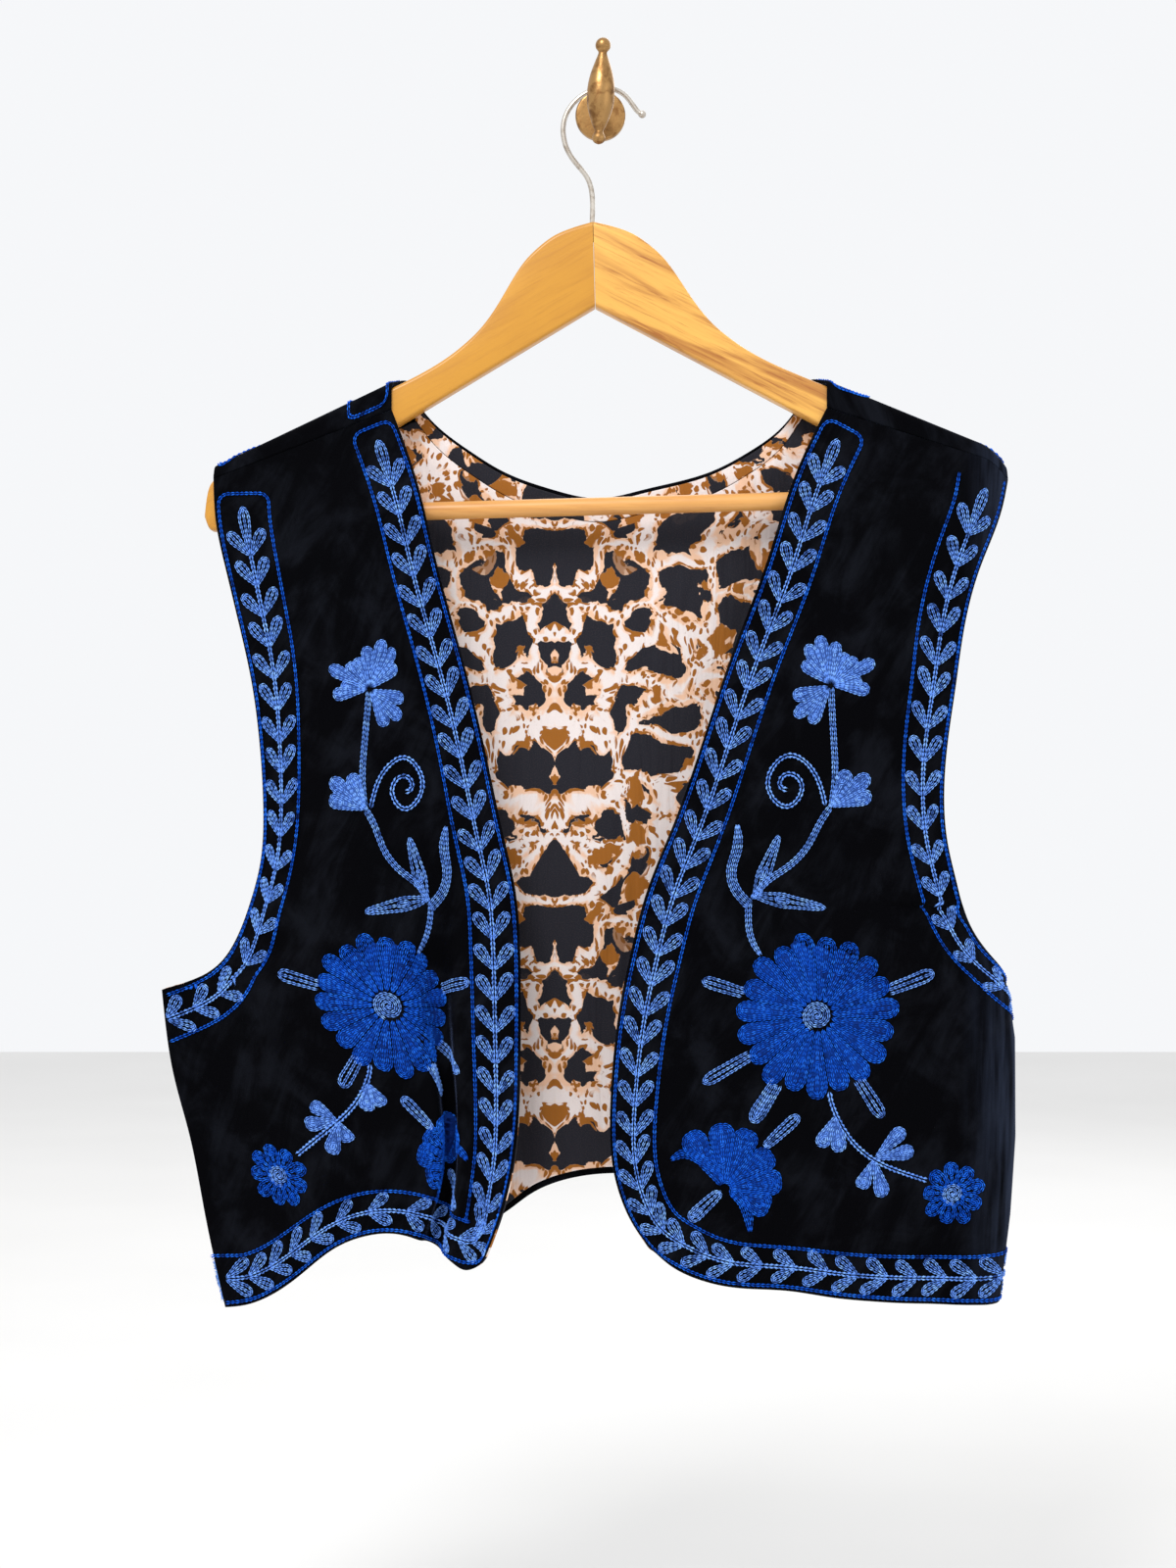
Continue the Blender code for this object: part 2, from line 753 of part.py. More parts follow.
def make_wire(group, helpers, steel):
    """The hanger's steel hook: a bent wire with a bead on its free end."""
    route = smooth_line(WIRE_ROUTE)
    shares = np.linspace(0, 1, 46)
    places = route(shares)
    length = float(np.linalg.norm(np.diff(places, axis=0), axis=1).sum())
    bead = np.array([-2.0, -1.4, -0.6, 0.3, 1.1, 1.8]) + BEAD_RADIUS
    shares = np.concatenate([shares[shares < 1 - 3.2 * BEAD_RADIUS / length], 1 - bead[::-1] / length])
    radii = np.ones(len(shares))
    offsets = bead[::-1] - BEAD_RADIUS
    radii[-6:] = np.maximum(np.sqrt(np.maximum(BEAD_RADIUS**2 - offsets**2, 0)) / WIRE_RADIUS, 0.35)
    radii[-6] = 1.0
    data = bpy.data.curves.new("hook_wire_route", "CURVE")
    data.dimensions = "3D"
    data.bevel_depth = WIRE_RADIUS * MM
    data.bevel_resolution = 2
    data.use_fill_caps = True
    line = data.splines.new("POLY")
    line.points.add(len(shares) - 1)
    for point, (x, z), radius in zip(line.points, route(shares), radii):
        point.co = (x * MM, HANG_Y * MM, z * MM, 1)
        point.radius = radius
    source = add_object("hook_wire_curve", data, helpers)
    wire = meshed(source, "hanger_hook", group, steel)
    wire.data.shade_smooth()


def make_wall_hook(group, helpers, brass):
    """The brass wall hook: a rose against the wall, and a stem that carries an upright spindle."""
    rose_shape = cylinder(ROSE_RADIUS, ROSE_THICK, sides=32)
    data = bpy.data.meshes.new("wall_rose")
    rose_shape.to_mesh(data)
    rose_shape.free()
    rose = add_object("wall_rose", data, group, brass)
    rose.location = (0, -ROSE_THICK / 2 * MM, 0)
    rose.rotation_euler = (math.pi / 2, 0, 0)
    edge = rose.modifiers.new("Rounded edges", "BEVEL")
    edge.width = 1.2 * MM
    edge.segments = 2
    edge.limit_method = "ANGLE"

    profile = bpy.data.meshes.new("spindle_profile")
    points = [(radius * MM, 0, height * MM) for height, radius in SPINDLE]
    profile.from_pydata(points, [(i, i + 1) for i in range(len(points) - 1)], [])
    spindle = add_object("spindle", profile, helpers)
    turned = spindle.modifiers.new("Turned", "SCREW")
    turned.axis = "Z"
    turned.steps = turned.render_steps = 20
    turned.use_merge_vertices = True
    turned.merge_threshold = 0.0001
    turned.use_smooth_shade = True
    spindle.location = (0, SPINDLE_Y * MM, -1.0 * MM)
    spindle.rotation_euler = (0, SPINDLE_TILT, 0)
    spindle.hide_render = True
    spindle.display_type = "WIRE"

    stem_length = -SPINDLE_Y - ROSE_THICK - GAP
    stem_shape = cylinder(STEM_RADIUS, stem_length, sides=20)
    stem_data = bpy.data.meshes.new("wall_hook")
    stem_shape.to_mesh(stem_data)
    stem_shape.free()
    hook = add_object("wall_hook", stem_data, group, brass)
    hook.location = (0, (SPINDLE_Y + stem_length / 2) * MM, 0)
    hook.rotation_euler = (math.pi / 2, 0, 0)
    boolean(hook, spindle, "UNION")
    for piece in (rose, hook):
        piece.data.shade_smooth()
        piece.data.set_sharp_from_angle(angle=math.radians(40))


def spread(*stretches):
    """Shares from 0 to 1 with a chosen number of steps in each stretch: pairs of end and steps."""
    found = [0.0]
    for end, steps in stretches:
        found.extend(np.linspace(found[-1], end, steps + 1)[1:])
    return np.array(found)


def make_vest(group, velvet, print_cotton):
    """The two fronts, the back, its lining and the neck facing."""
    u, v = np.meshgrid(
        spread((PLEAT_FROM, 3), (PLEAT_TO, 11), (0.90, 8), (1.0, 2)),
        spread((0.06, 2), (UNDERARM, 13), (1.0, 12)),
    )
    cloth("right_front", [right_front(u, v)], VELVET, group, velvet)
    u, v = np.meshgrid(
        spread((0.15, 3), (0.84, 8), (1.0, 9)),
        spread((0.06, 2), (UNDERARM, 11), (1.0, 8)),
    )
    cloth("left_front", [left_front(u, v)], VELVET, group, velvet)

    low, high = NECK_SHARES
    columns = spread((low, 7), (high, 16), (0.93, 4), (1.0, 4))
    rows = spread((FACING_SHARE, 1), (0.16, 3), (UNDERARM, 8), (1.0, 8))
    body = back(*np.meshgrid(columns, rows))
    right_strap = strap("right", 1 - columns[:8] / low)
    left_strap = strap("left", (columns[-9:] - high) / (1 - high))
    grids = [body, right_strap.transpose(1, 0, 2), left_strap.transpose(1, 0, 2)]
    cloth("back", grids, VELVET, group, velvet, faces_back=True)

    under = inside(body, VELVET + LINING_GAP)
    cloth("neck_facing", [under[:2, 7:-8]], LINING, group, print_cotton, faces_back=True)
    rows_kept = np.concatenate([[LINING_TOP_SHARE], rows[2:-1], [LINING_HEM_SHARE]])
    under = np.stack([[np.interp(rows_kept, rows, line) for line in under[..., k].T] for k in range(3)], axis=-1)
    under = under.transpose(1, 0, 2)
    below_arm = ease((rows_kept - 0.30) / 0.34)
    drawn_in = LINING_INSET_ARMHOLE + (LINING_INSET_SIDE - LINING_INSET_ARMHOLE) * below_arm
    lining = np.stack([drawn_in_row(row, columns, inset) for row, inset in zip(under, drawn_in)])
    cloth("back_lining", [lining], LINING, group, print_cotton, faces_back=True)


def drawn_in_row(row, columns, inset):
    """A row of places with its outermost places at each end drawn in to the inset."""
    places = columns.copy()
    places[:3] = inset + (columns[3] - inset) * columns[:3] / columns[3]
    last = len(columns) - 1
    kept = 1 - columns[last - 6]
    places[-6:] = 1 - inset - (kept - inset) * (1 - columns[-6:]) / kept
    return np.column_stack([np.interp(places, columns, row[:, k]) for k in range(3)])


def main():
    """Clears the scene and builds every piece."""
    for old in list(bpy.data.objects):
        bpy.data.objects.remove(old)
    vest = collection("velvet_vest")
    helpers = collection("cutters")
    velvet = material("black_velvet", (0.006, 0.007, 0.010), 0.9)
    print_cotton = material("printed_cotton", (0.55, 0.42, 0.34), 0.8)
    wood = material("lacquered_wood", (0.72, 0.40, 0.10), 0.4)
    steel = material("bright_steel", (0.62, 0.60, 0.57), 0.3, metallic=1.0)
    brass = material("aged_brass", (0.60, 0.38, 0.17), 0.35, metallic=1.0)
    make_vest(vest, velvet, print_cotton)
    make_hanger(vest, helpers, wood)
    make_wire(vest, helpers, steel)
    make_wall_hook(vest, helpers, brass)


main()
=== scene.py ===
"""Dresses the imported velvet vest, its hanger and its wall hook, and sets the studio round them.

The frame is the CAD model's: metres, +Z up, the origin on the wall behind the hook, the vest
facing -Y. Left and right are the wearer's. Tables and sizes are in millimetres, and a mesh is
turned into metres when it is made. A cloth's flat places are those of the cut piece, laid out
as it would be seen from the front.
"""

from __future__ import annotations

import logging
import math
from dataclasses import dataclass, field
from enum import Enum
from typing import Callable, Sequence

import bpy
import numpy as np
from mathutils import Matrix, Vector

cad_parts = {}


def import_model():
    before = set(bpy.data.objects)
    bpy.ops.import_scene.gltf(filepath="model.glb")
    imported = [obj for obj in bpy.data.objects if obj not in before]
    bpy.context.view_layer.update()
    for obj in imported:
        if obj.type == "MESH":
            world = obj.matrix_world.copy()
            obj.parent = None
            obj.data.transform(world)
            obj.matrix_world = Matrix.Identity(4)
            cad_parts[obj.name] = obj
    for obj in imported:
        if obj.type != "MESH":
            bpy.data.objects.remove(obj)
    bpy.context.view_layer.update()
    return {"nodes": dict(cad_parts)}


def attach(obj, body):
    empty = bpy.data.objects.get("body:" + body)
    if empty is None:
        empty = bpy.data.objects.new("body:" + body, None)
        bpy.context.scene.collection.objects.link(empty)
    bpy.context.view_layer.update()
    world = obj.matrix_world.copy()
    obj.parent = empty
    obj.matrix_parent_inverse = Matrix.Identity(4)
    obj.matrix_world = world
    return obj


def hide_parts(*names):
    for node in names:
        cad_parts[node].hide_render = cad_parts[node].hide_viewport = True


Array = np.ndarray
Finish = bpy.types.Material
Piece = bpy.types.Object
Place = Sequence[float]
Table = Sequence[Place]
Measure = Callable[[Array], Array]
LOG = logging.getLogger("vest")
MM = 0.001


class Side(Enum):
    """The wearer's side. The value is the sign of x."""

    RIGHT = -1
    LEFT = 1


def ease(x: Array | float) -> Array:
    """0 below 0 and 1 above 1, with x times x times (3 - 2 x) between."""
    x = np.clip(x, 0.0, 1.0)
    return x * x * (3 - 2 * x)


def unit(ways: Array) -> Array:
    """Ways of length 1, each in the last axis."""
    return ways / np.maximum(np.linalg.norm(ways, axis=-1, keepdims=True), 1e-12)


def circle(count: int) -> Array:
    """Even angles once round."""
    return np.linspace(0, 2 * math.pi, count, endpoint=False)


class Spline:
    """The natural cubic through values at knots: bends change evenly and end at nothing."""

    def __init__(self, knots: Sequence[float], values: Table | Sequence[float]) -> None:
        """Solves for the bends.

        Args:
            knots: Rising numbers.
            values: A number or a row of numbers for each knot.
        """
        self.knots = np.asarray(knots, float)
        given = np.asarray(values, float)
        self.shape = given.shape[1:]
        self.columns = given.reshape(len(self.knots), -1)
        steps = np.diff(self.knots)
        slopes = np.diff(self.columns, axis=0) / steps[:, None]
        system = np.eye(len(self.knots))
        inner = np.arange(1, len(self.knots) - 1)
        system[inner, inner - 1] = steps[:-1]
        system[inner, inner] = 2 * (steps[:-1] + steps[1:])
        system[inner, inner + 1] = steps[1:]
        load = np.zeros_like(self.columns)
        load[1:-1] = 6 * np.diff(slopes, axis=0)
        self.bends = np.linalg.solve(system, load)

    def __call__(self, x: Array | float) -> Array:
        """Reads the spline.

        Args:
            x: Places among the knots. Beyond the ends, the last piece runs on.

        Returns:
            The values, shaped as x with the value's own shape after it.
        """
        x = np.asarray(x, float)
        flat = x.reshape(-1)
        i = np.clip(np.searchsorted(self.knots, flat, side="right") - 1, 0, len(self.knots) - 2)
        width = (self.knots[i + 1] - self.knots[i])[:, None]
        after = (flat - self.knots[i])[:, None]
        before = width - after
        found = (self.bends[i] * before**3 + self.bends[i + 1] * after**3) / (6 * width)
        found += (self.columns[i] / width - self.bends[i] * width / 6) * before
        found += (self.columns[i + 1] / width - self.bends[i + 1] * width / 6) * after
        return found.reshape(x.shape + self.shape)


class Line:
    """A smooth line through points, read by its share or by its length."""

    def __init__(self, points: Table | Array) -> None:
        """Lays the line.

        Args:
            points: At least three points, each a row of coordinates.
        """
        self.points = np.asarray(points, float)
        steps = np.linalg.norm(np.diff(self.points, axis=0), axis=1)
        shares = np.concatenate([[0.0], np.cumsum(steps)])
        self.share = Spline(shares / shares[-1], self.points)
        self.samples = np.linspace(0, 1, 40 * len(self.points))
        chords = np.linalg.norm(np.diff(self.share(self.samples), axis=0), axis=1)
        self.lengths = np.concatenate([[0.0], np.cumsum(chords)])
        self.length = float(self.lengths[-1])

    def at(self, along: Array | float) -> Array:
        """The places at lengths along the line."""
        return self.share(np.interp(along, self.lengths, self.samples))

    def beside(self, along: Array, offset: Array | float) -> Array:
        """Places at a length along a flat line and an offset to the left of its direction.

        Args:
            along: Lengths from the start. Below 0 or past the end, the line runs on straight.
            offset: Distance to the left, one for all or one for each length.

        Returns:
            The places, one row each.
        """
        along = np.asarray(along, float)
        inside = np.clip(along, 0, self.length)
        reach = 1.5
        ahead = unit(self.at(np.minimum(inside + reach, self.length)) - self.at(np.maximum(inside - reach, 0)))
        left = np.stack([-ahead[..., 1], ahead[..., 0]], axis=-1)
        return self.at(inside) + ahead * (along - inside)[..., None] + left * np.asarray(offset)[..., None]


def patch(left: Callable, right: Callable, top: Callable, bottom: Callable, u: Array, v: Array) -> Array:
    """Places between four borders, which are kept. Straight lines join the sides, and what
    the top and the bottom stray from them is added, fading with distance.

    Args:
        left: The border at u = 0, read by v.
        right: That at u = 1.
        top: The border at v = 0, read by u.
        bottom: That at v = 1.
        u: Shares across.
        v: Shares down.

    Returns:
        An array of v by u by 2.
    """
    across = u[None, :, None]
    sides = (1 - across) * left(v)[:, None] + across * right(v)[:, None]
    above = top(u)[None] - (1 - across) * top(0.0) - across * top(1.0)
    below = bottom(u)[None] - (1 - across) * bottom(0.0) - across * bottom(1.0)
    from_top = (1 - ease(v / Cut.TOP_FADE))[:, None, None]
    from_hem = ease((v - Cut.HEM_FADE) / (1 - Cut.HEM_FADE))[:, None, None]
    return sides + above * from_top + below * from_hem


class Cut:
    """Numbers that all the vest's pieces share."""

    UNDERARM = 0.64
    SEWN_FROM = 0.46
    TOP_FADE = 0.45
    HEM_FADE = 0.58
    ARM_TO_HANG = 0.13
    SIDE_EASE = 70.0
    SEAM_GAP = -0.35


@dataclass
class HangerForm:
    """The shape of the wooden hanger, on which the shoulders lie."""

    crown: tuple[float, float, float] = (-4.6, -45.0, -72.6)
    roll: float = math.radians(1.6)
    sweep: float = math.radians(3.6)
    top: Table = (
        (0.0, 0.5), (8.0, 2.6), (16.0, 5.2), (24.0, 8.9), (33.0, 15.6), (41.6, 24.3), (50.0, 36.8), (58.7, 50.6),
        (67.3, 61.6), (76.0, 69.8), (84.5, 76.4), (93.0, 81.9), (101.0, 86.4), (118.0, 94.6), (150.0, 109.2),
        (222.0, 141.7), (245.0, 152.0),
    )

    def __post_init__(self) -> None:
        """Makes the top line readable at any distance out."""
        rows = np.asarray(self.top)
        self.drop = Spline(rows[:, 0], rows[:, 1])

    def place(self, side: Side, out: Array, drop: Array, forward: Array | float = 0.0) -> Array:
        """A place on an arm, from its own measures.

        Args:
            side: Which arm.
            out: Distance out from the mitre along the arm's plane.
            drop: Distance down from the crown.
            forward: Distance in front of the arm's middle plane.

        Returns:
            x, y, z in the last axis.
        """
        across = side.value * out * math.cos(self.sweep)
        x = self.crown[0] + across * math.cos(self.roll) + drop * math.sin(self.roll)
        y = self.crown[1] - out * math.sin(self.sweep) - forward + 0 * drop
        z = self.crown[2] + across * math.sin(self.roll) - drop * math.cos(self.roll)
        return np.stack([x, y + 0 * x, z], axis=-1)

    def depth(self, x: Array) -> Array:
        """y of the arms' middle plane at x."""
        return self.crown[1] - np.abs(x - self.crown[0]) * math.tan(self.sweep)


@dataclass
class Shoulder:
    """One shoulder: the back's strap comes over the arm to a seam on the arm's front face."""

    side: Side
    hanger: HangerForm
    neck_out: float
    tip_out: float
    front_face: float = 9.4
    back_face: float = 12.5
    ridge_clear: float = 3.6
    ridge_radius: float = 5.4
    seam_drops: tuple[float, float] = (17.0, 7.5)
    back_drop: float = 10.0
    neck_flare: float = 10.0
    droop_from: float = 221.0
    droop_full: float = 235.3
    droop: float = 8.5

    def base(self, share: Array, inward: Array | float = 0.0) -> Array:
        """The arm's top line from neck to tip, where cloth past the arm's end droops.

        Args:
            share: 0 at the neck, 1 at the tip.
            inward: Distance moved towards the neck.

        Returns:
            x, y, z in the last axis.
        """
        out = self.neck_out + (self.tip_out - self.neck_out) * np.asarray(share, float) - inward
        beyond = np.maximum(out - self.droop_from, 0) / (self.droop_full - self.droop_from)
        return self.hanger.place(self.side, out, self.hanger.drop(out) + self.droop * beyond**2)

    def seam(self, share: Array | float) -> Array:
        """x, y, z of the shoulder seam, from neck to tip."""
        share = np.asarray(share, float)
        line = self.base(share)
        line[..., 1] -= self.front_face
        line[..., 2] += self.ridge_clear - (self.seam_drops[0] + (self.seam_drops[1] - self.seam_drops[0]) * share)
        return line

    def strap(self, shares: Array, turns: int = 12, falls: int = 8) -> Array:
        """The strap: up the front face, round two quarter circles over the ridge, down the back.

        Args:
            shares: Shares from the neck to the tip.
            turns: Steps in each quarter circle.
            falls: Steps on each straight stretch.

        Returns:
            An array of shares by places from the seam to the back by 3.
        """
        quarter = np.linspace(0, math.pi / 2, turns + 1)
        lift = self.ridge_clear - self.ridge_radius
        front = -self.front_face + self.ridge_radius * (1 - np.cos(quarter))
        behind = self.back_face - self.ridge_radius * (1 - np.sin(quarter))
        climb, fall = np.linspace(0, 1, falls, endpoint=False), np.linspace(0, 1, falls + 1)[1:]
        y = np.concatenate([np.full(falls, -self.front_face), front, behind, np.full(falls, self.back_face)])
        first = (self.seam(shares) - self.base(shares))[:, 2:3]
        rise = np.broadcast_to(lift + self.ridge_radius * np.sin(quarter), (len(shares), turns + 1))
        down = np.broadcast_to(lift + self.ridge_radius * np.cos(quarter), (len(shares), turns + 1))
        start = first + (lift - first) * climb
        end = np.broadcast_to(lift + (self.ridge_clear - self.back_drop - lift) * fall, (len(shares), falls))
        z = np.concatenate([start, rise, down, end], axis=1)
        flare = ((y + self.front_face) / (self.back_face + self.front_face)) ** 2
        inward = self.neck_flare * (1 - shares[:, None]) ** 2 * flare
        points = self.base(shares[:, None] + 0 * inward, inward)
        points[..., 1] += y
        points[..., 2] += z
        return points


def folds(table: Table, x: Array, v: Array) -> Array:
    """Depth of soft vertical folds: bell curves across, growing from their start to the hem.

    Args:
        table: Rows of middle x, half width, depth at the hem and share where it starts.
        x: Places across, v by u.
        v: Shares down.

    Returns:
        Depths, + backwards.
    """
    rows = np.asarray(table)[:, None, None, :]
    grown = ease((v[None, :, None] - rows[..., 3]) / (1 - rows[..., 3]))
    return (rows[..., 2] * np.exp(-(((x[None] - rows[..., 0]) / rows[..., 1]) ** 2)) * grown).sum(axis=0)


def stacked(upper: Line, lower: Line, v: Array) -> Array:
    """x, z of an armhole down to the underarm and of the side seam below it."""
    above = upper.share(np.clip(v / Cut.UNDERARM, 0, 1))
    below = lower.share(np.clip((v - Cut.UNDERARM) / (1 - Cut.UNDERARM), 0, 1))
    return np.where(v[:, None] < Cut.UNDERARM, above, below)


def picked(length: int, count: int) -> Array:
    """Whole numbers below a length, about as many as count, from the first to the last."""
    return np.unique(np.linspace(0, length - 1, count).round().astype(int))


def between(rows: Array, place: Array) -> Array:
    """Values of each row of a table between its columns, at places v by u."""
    low = np.clip(np.floor(place).astype(int), 0, rows.shape[1] - 2)
    part = (place - low).reshape(place.shape + (1,) * (rows.ndim - 2))
    row = np.arange(len(rows))[:, None]
    return rows[row, low] * (1 - part) + rows[row, low + 1] * part


@dataclass
class FrontForm:
    """A front as it hangs: its outline, how far forward it lies, and its folds."""

    shoulder: Shoulder
    edge: Table
    hem: Table
    armhole: Table
    side: Table
    hang: Table
    folds: Table
    hang_shares: tuple[float, ...] = (0.0, 0.33, 0.68, 1.0)

    def __post_init__(self) -> None:
        """Joins the outline to the shoulder seam."""
        neck, tip = self.seam(np.array([0.0, 1.0]))
        self.edge_line = Line([tuple(neck), *self.edge])
        self.hem_line = Line(self.hem)
        self.armhole_line = Line([tuple(tip), *self.armhole])
        self.side_line = Line(self.side)

    def seam(self, share: Array | float) -> Array:
        """x, z of the front's upper border, just under the shoulder seam."""
        return self.shoulder.seam(share)[..., ::2] - np.array([0, Cut.SEAM_GAP])

    def outer_side(self, v: Array) -> Array:
        """x, z of the armhole and, below the underarm, of the side seam."""
        return stacked(self.armhole_line, self.side_line, v)

    def flat(self, u: Array, v: Array) -> Array:
        """x, z of the cut piece, before it is rolled or pleated."""
        return patch(self.edge_line.share, self.outer_side, self.seam, self.hem_line.share, u, v)

    def depth(self, u: Array, v: Array) -> Array:
        """y of a freely hanging front: a cubic across through four places of its table.

        Args:
            u: Shares across, v by u.
            v: Shares down.

        Returns:
            y, v by u.
        """
        table = np.asarray(self.hang, float)
        rows = Spline(table[:, 0], table[:, 1:])(v)
        places = np.asarray(self.hang_shares)
        found = np.zeros_like(u)
        for k, place in enumerate(places):
            others = np.delete(places, k)
            found += rows[:, k : k + 1] * np.prod([(u - o) / (place - o) for o in others], axis=0)
        return found

    def on_arm(self, x: Array, depth: Array, v: Array) -> Array:
        """y on the arm's front face at the top, easing to the hanging depth below."""
        weight = ease(v / Cut.ARM_TO_HANG)[:, None]
        return (self.shoulder.hanger.depth(x) - self.shoulder.front_face) * (1 - weight) + depth * weight


@dataclass
class RightFrontForm(FrontForm):
    """The right front, with the deep pleat that swallows cloth beside its edge band."""

    pleat_from: float = 0.16
    pleat_to: float = 0.35
    pleat_width: float = 232.0
    pleat_angles: Table = ((0.00, 0), (0.46, 0), (0.58, 35), (0.70, 68), (0.82, 90), (0.92, 92), (1.00, 70))

    def pleated(self, u: Array, v: Array) -> tuple[Array, Array]:
        """How far across and how deep the cloth has gone at each share of its own width.

        In the pleat its heading turns by a full sine wave, and both ways are running sums of
        the heading's cosine and sine.

        Args:
            u: Shares of the cloth's width.
            v: Shares down.

        Returns:
            Shares of the way across, and depths in shares of the width, both v by u.
        """
        count = 1200
        steps = np.linspace(0, 1, count + 1)
        table = np.asarray(self.pleat_angles, float)
        steepest = np.radians(Spline(table[:, 0], table[:, 1])(v))[:, None]
        phase = np.clip((steps - self.pleat_from) / (self.pleat_to - self.pleat_from), 0, 1)
        turn = steepest * np.sin(2 * math.pi * phase)
        run, sink = (
            np.pad(np.cumsum((way[:, 1:] + way[:, :-1]) / 2, axis=1), ((0, 0), (1, 0)))
            for way in (np.cos(turn), np.sin(turn))
        )
        place = np.broadcast_to(u * count, (len(v), len(u)))
        return between(run, place) / run[:, -1:], between(sink, place) / count

    def surface(self, u: Array, v: Array) -> Array:
        """x, y, z of the outer face, v by u by 3."""
        across, sunk = self.pleated(u, v)
        count = 599
        flat = between(self.flat(np.linspace(0, 1, count + 1), v), across * count)
        x = flat[..., 0]
        hang = self.depth(across, v) + folds(self.folds, x, v)
        side = self.outer_side(v)[:, :1]
        at_side = self.depth(np.ones((len(v), 1)), v)
        sewn = ease((v - 0.5) / (Cut.UNDERARM - 0.5))[:, None]
        from_side = (1 - across) * (self.edge_line.share(v)[:, :1] - side)
        hang = at_side + (hang - at_side) * (1 - sewn * (1 - ease(from_side / Cut.SIDE_EASE)))
        y = self.on_arm(x, hang + self.pleat_width * sunk, v)
        return np.stack([x, y, flat[..., 1]], axis=-1)


@dataclass
class LeftFrontForm(FrontForm):
    """The left front, whose side rolls round to the back on a small circle."""

    roll_radius: float = 11.0
    roll_start: Table = ((-470, 214), (-500, 221), (-526, 226), (-548, 229), (-605, 229), (-650, 226), (-700, 220))

    def surface(self, u: Array, v: Array) -> Array:
        """x, y, z of the outer face, v by u by 3."""
        flat = self.flat(u, v)
        x, z = flat[..., 0], flat[..., 1]
        table = np.asarray(self.roll_start, float)
        start = np.interp(-z, -table[:, 0], table[:, 1], left=1000.0)
        turn = np.clip((x - start) / self.roll_radius, 0, math.pi)
        rolled = np.where(turn > 0, start + self.roll_radius * np.sin(turn), x)
        rolled = rolled - np.maximum(x - start - math.pi * self.roll_radius, 0)
        wide = np.broadcast_to(u, x.shape)
        hang = self.depth(wide, v) + folds(self.folds, x, v)
        side = self.hang[-1][-1]
        hang = side + (hang - side) * ease((start - x) / 60.0)
        y = self.on_arm(x, hang, v) + self.roll_radius * (1 - np.cos(turn))
        return np.stack([rolled, y, z], axis=-1)


@dataclass
class BackForm:
    """The back panel below its shoulder straps."""

    right: Shoulder
    left: Shoulder
    left_front: LeftFrontForm
    right_side: Table
    scoop: Table
    armhole_right: Table
    armhole_left: Table
    hem: Table
    folds: Table
    neck: tuple[float, float] = (0.235, 0.762)
    hang: float = -33.0
    scoop_y: float = -36.0
    to_hang: float = 0.34
    right_seam_y: float = -45.8
    side_gap: float = 0.5

    def __post_init__(self) -> None:
        """Lays the outline."""
        start, end = self.right.strap(np.zeros(1))[0, -1], self.left.strap(np.zeros(1))[0, -1]
        self.scoop_line = Line([tuple(start[::2]), *self.scoop, tuple(end[::2])])
        self.scoop_depth = Spline((0, 0.5, 1), (start[1], self.scoop_y, end[1]))
        joined = self.left_front.surface(np.array([0.0, 1.0]), np.linspace(Cut.UNDERARM, 1, 17))[:, 1]
        seam = [(x - self.side_gap, z) for x, z in joined[:, ::2]]
        top = self.top(np.array([0.0, 1.0]))[:, ::2]
        self.sides = (
            (Line([tuple(top[0]), *self.armhole_right]), Line(self.right_side)),
            (Line([tuple(top[1]), *self.armhole_left, seam[0]]), Line(seam)),
        )
        self.hem_line = Line([*self.hem[:-1], seam[-1]])

    def top(self, u: Array | float) -> Array:
        """x, y, z of the upper border: behind both arms, and along the neck scoop between."""
        u = np.asarray(u, float)
        along = u.reshape(-1)
        low, high = self.neck
        right = self.right.strap(1 - np.clip(along / low, 0, 1))[:, -1]
        left = self.left.strap(np.clip((along - high) / (1 - high), 0, 1))[:, -1]
        share = np.clip((along - low) / (high - low), 0, 1)
        scoop = self.scoop_line.share(share)
        middle = np.c_[scoop[:, 0], self.scoop_depth(share), scoop[:, 1]]
        found = np.where(along[:, None] <= low, right, middle)
        found = np.where(along[:, None] >= high, left, found)
        return found.reshape(u.shape + (3,))

    def outer_side(self, which: int, v: Array) -> Array:
        """x, z of an armhole and the side seam below it. which is 0 for right and 1 for left."""
        return stacked(*self.sides[which], v)

    def flat(self, u: Array, v: Array) -> Array:
        """x, z of the panel, v by u by 2."""
        right = lambda down: self.outer_side(0, down)
        left = lambda down: self.outer_side(1, down)
        return patch(right, left, lambda across: self.top(across)[..., ::2], self.hem_line.share, u, v)

    def surface(self, u: Array, v: Array) -> Array:
        """x, y, z of the outer face, v by u by 3."""
        flat = self.flat(u, v)
        x = flat[..., 0]
        arm = self.top(u)[None, :, 1]
        hang = arm + (self.hang + folds(self.folds, x, v) - arm) * ease(v / self.to_hang)[:, None]
        sewn = ease((v - Cut.SEWN_FROM) / (Cut.UNDERARM - Cut.SEWN_FROM))[:, None]
        at_left = self.left_front.surface(np.array([0.0, 1.0]), np.maximum(v, Cut.UNDERARM))[:, 1:, 1]
        near_right = sewn * (1 - ease((x - self.outer_side(0, v)[:, :1]) / Cut.SIDE_EASE))
        near_left = sewn * (1 - ease((self.outer_side(1, v)[:, :1] - x) / Cut.SIDE_EASE))
        y = hang + (self.right_seam_y - hang) * near_right + (at_left - hang) * near_left
        return np.stack([x, y, flat[..., 1]], axis=-1)


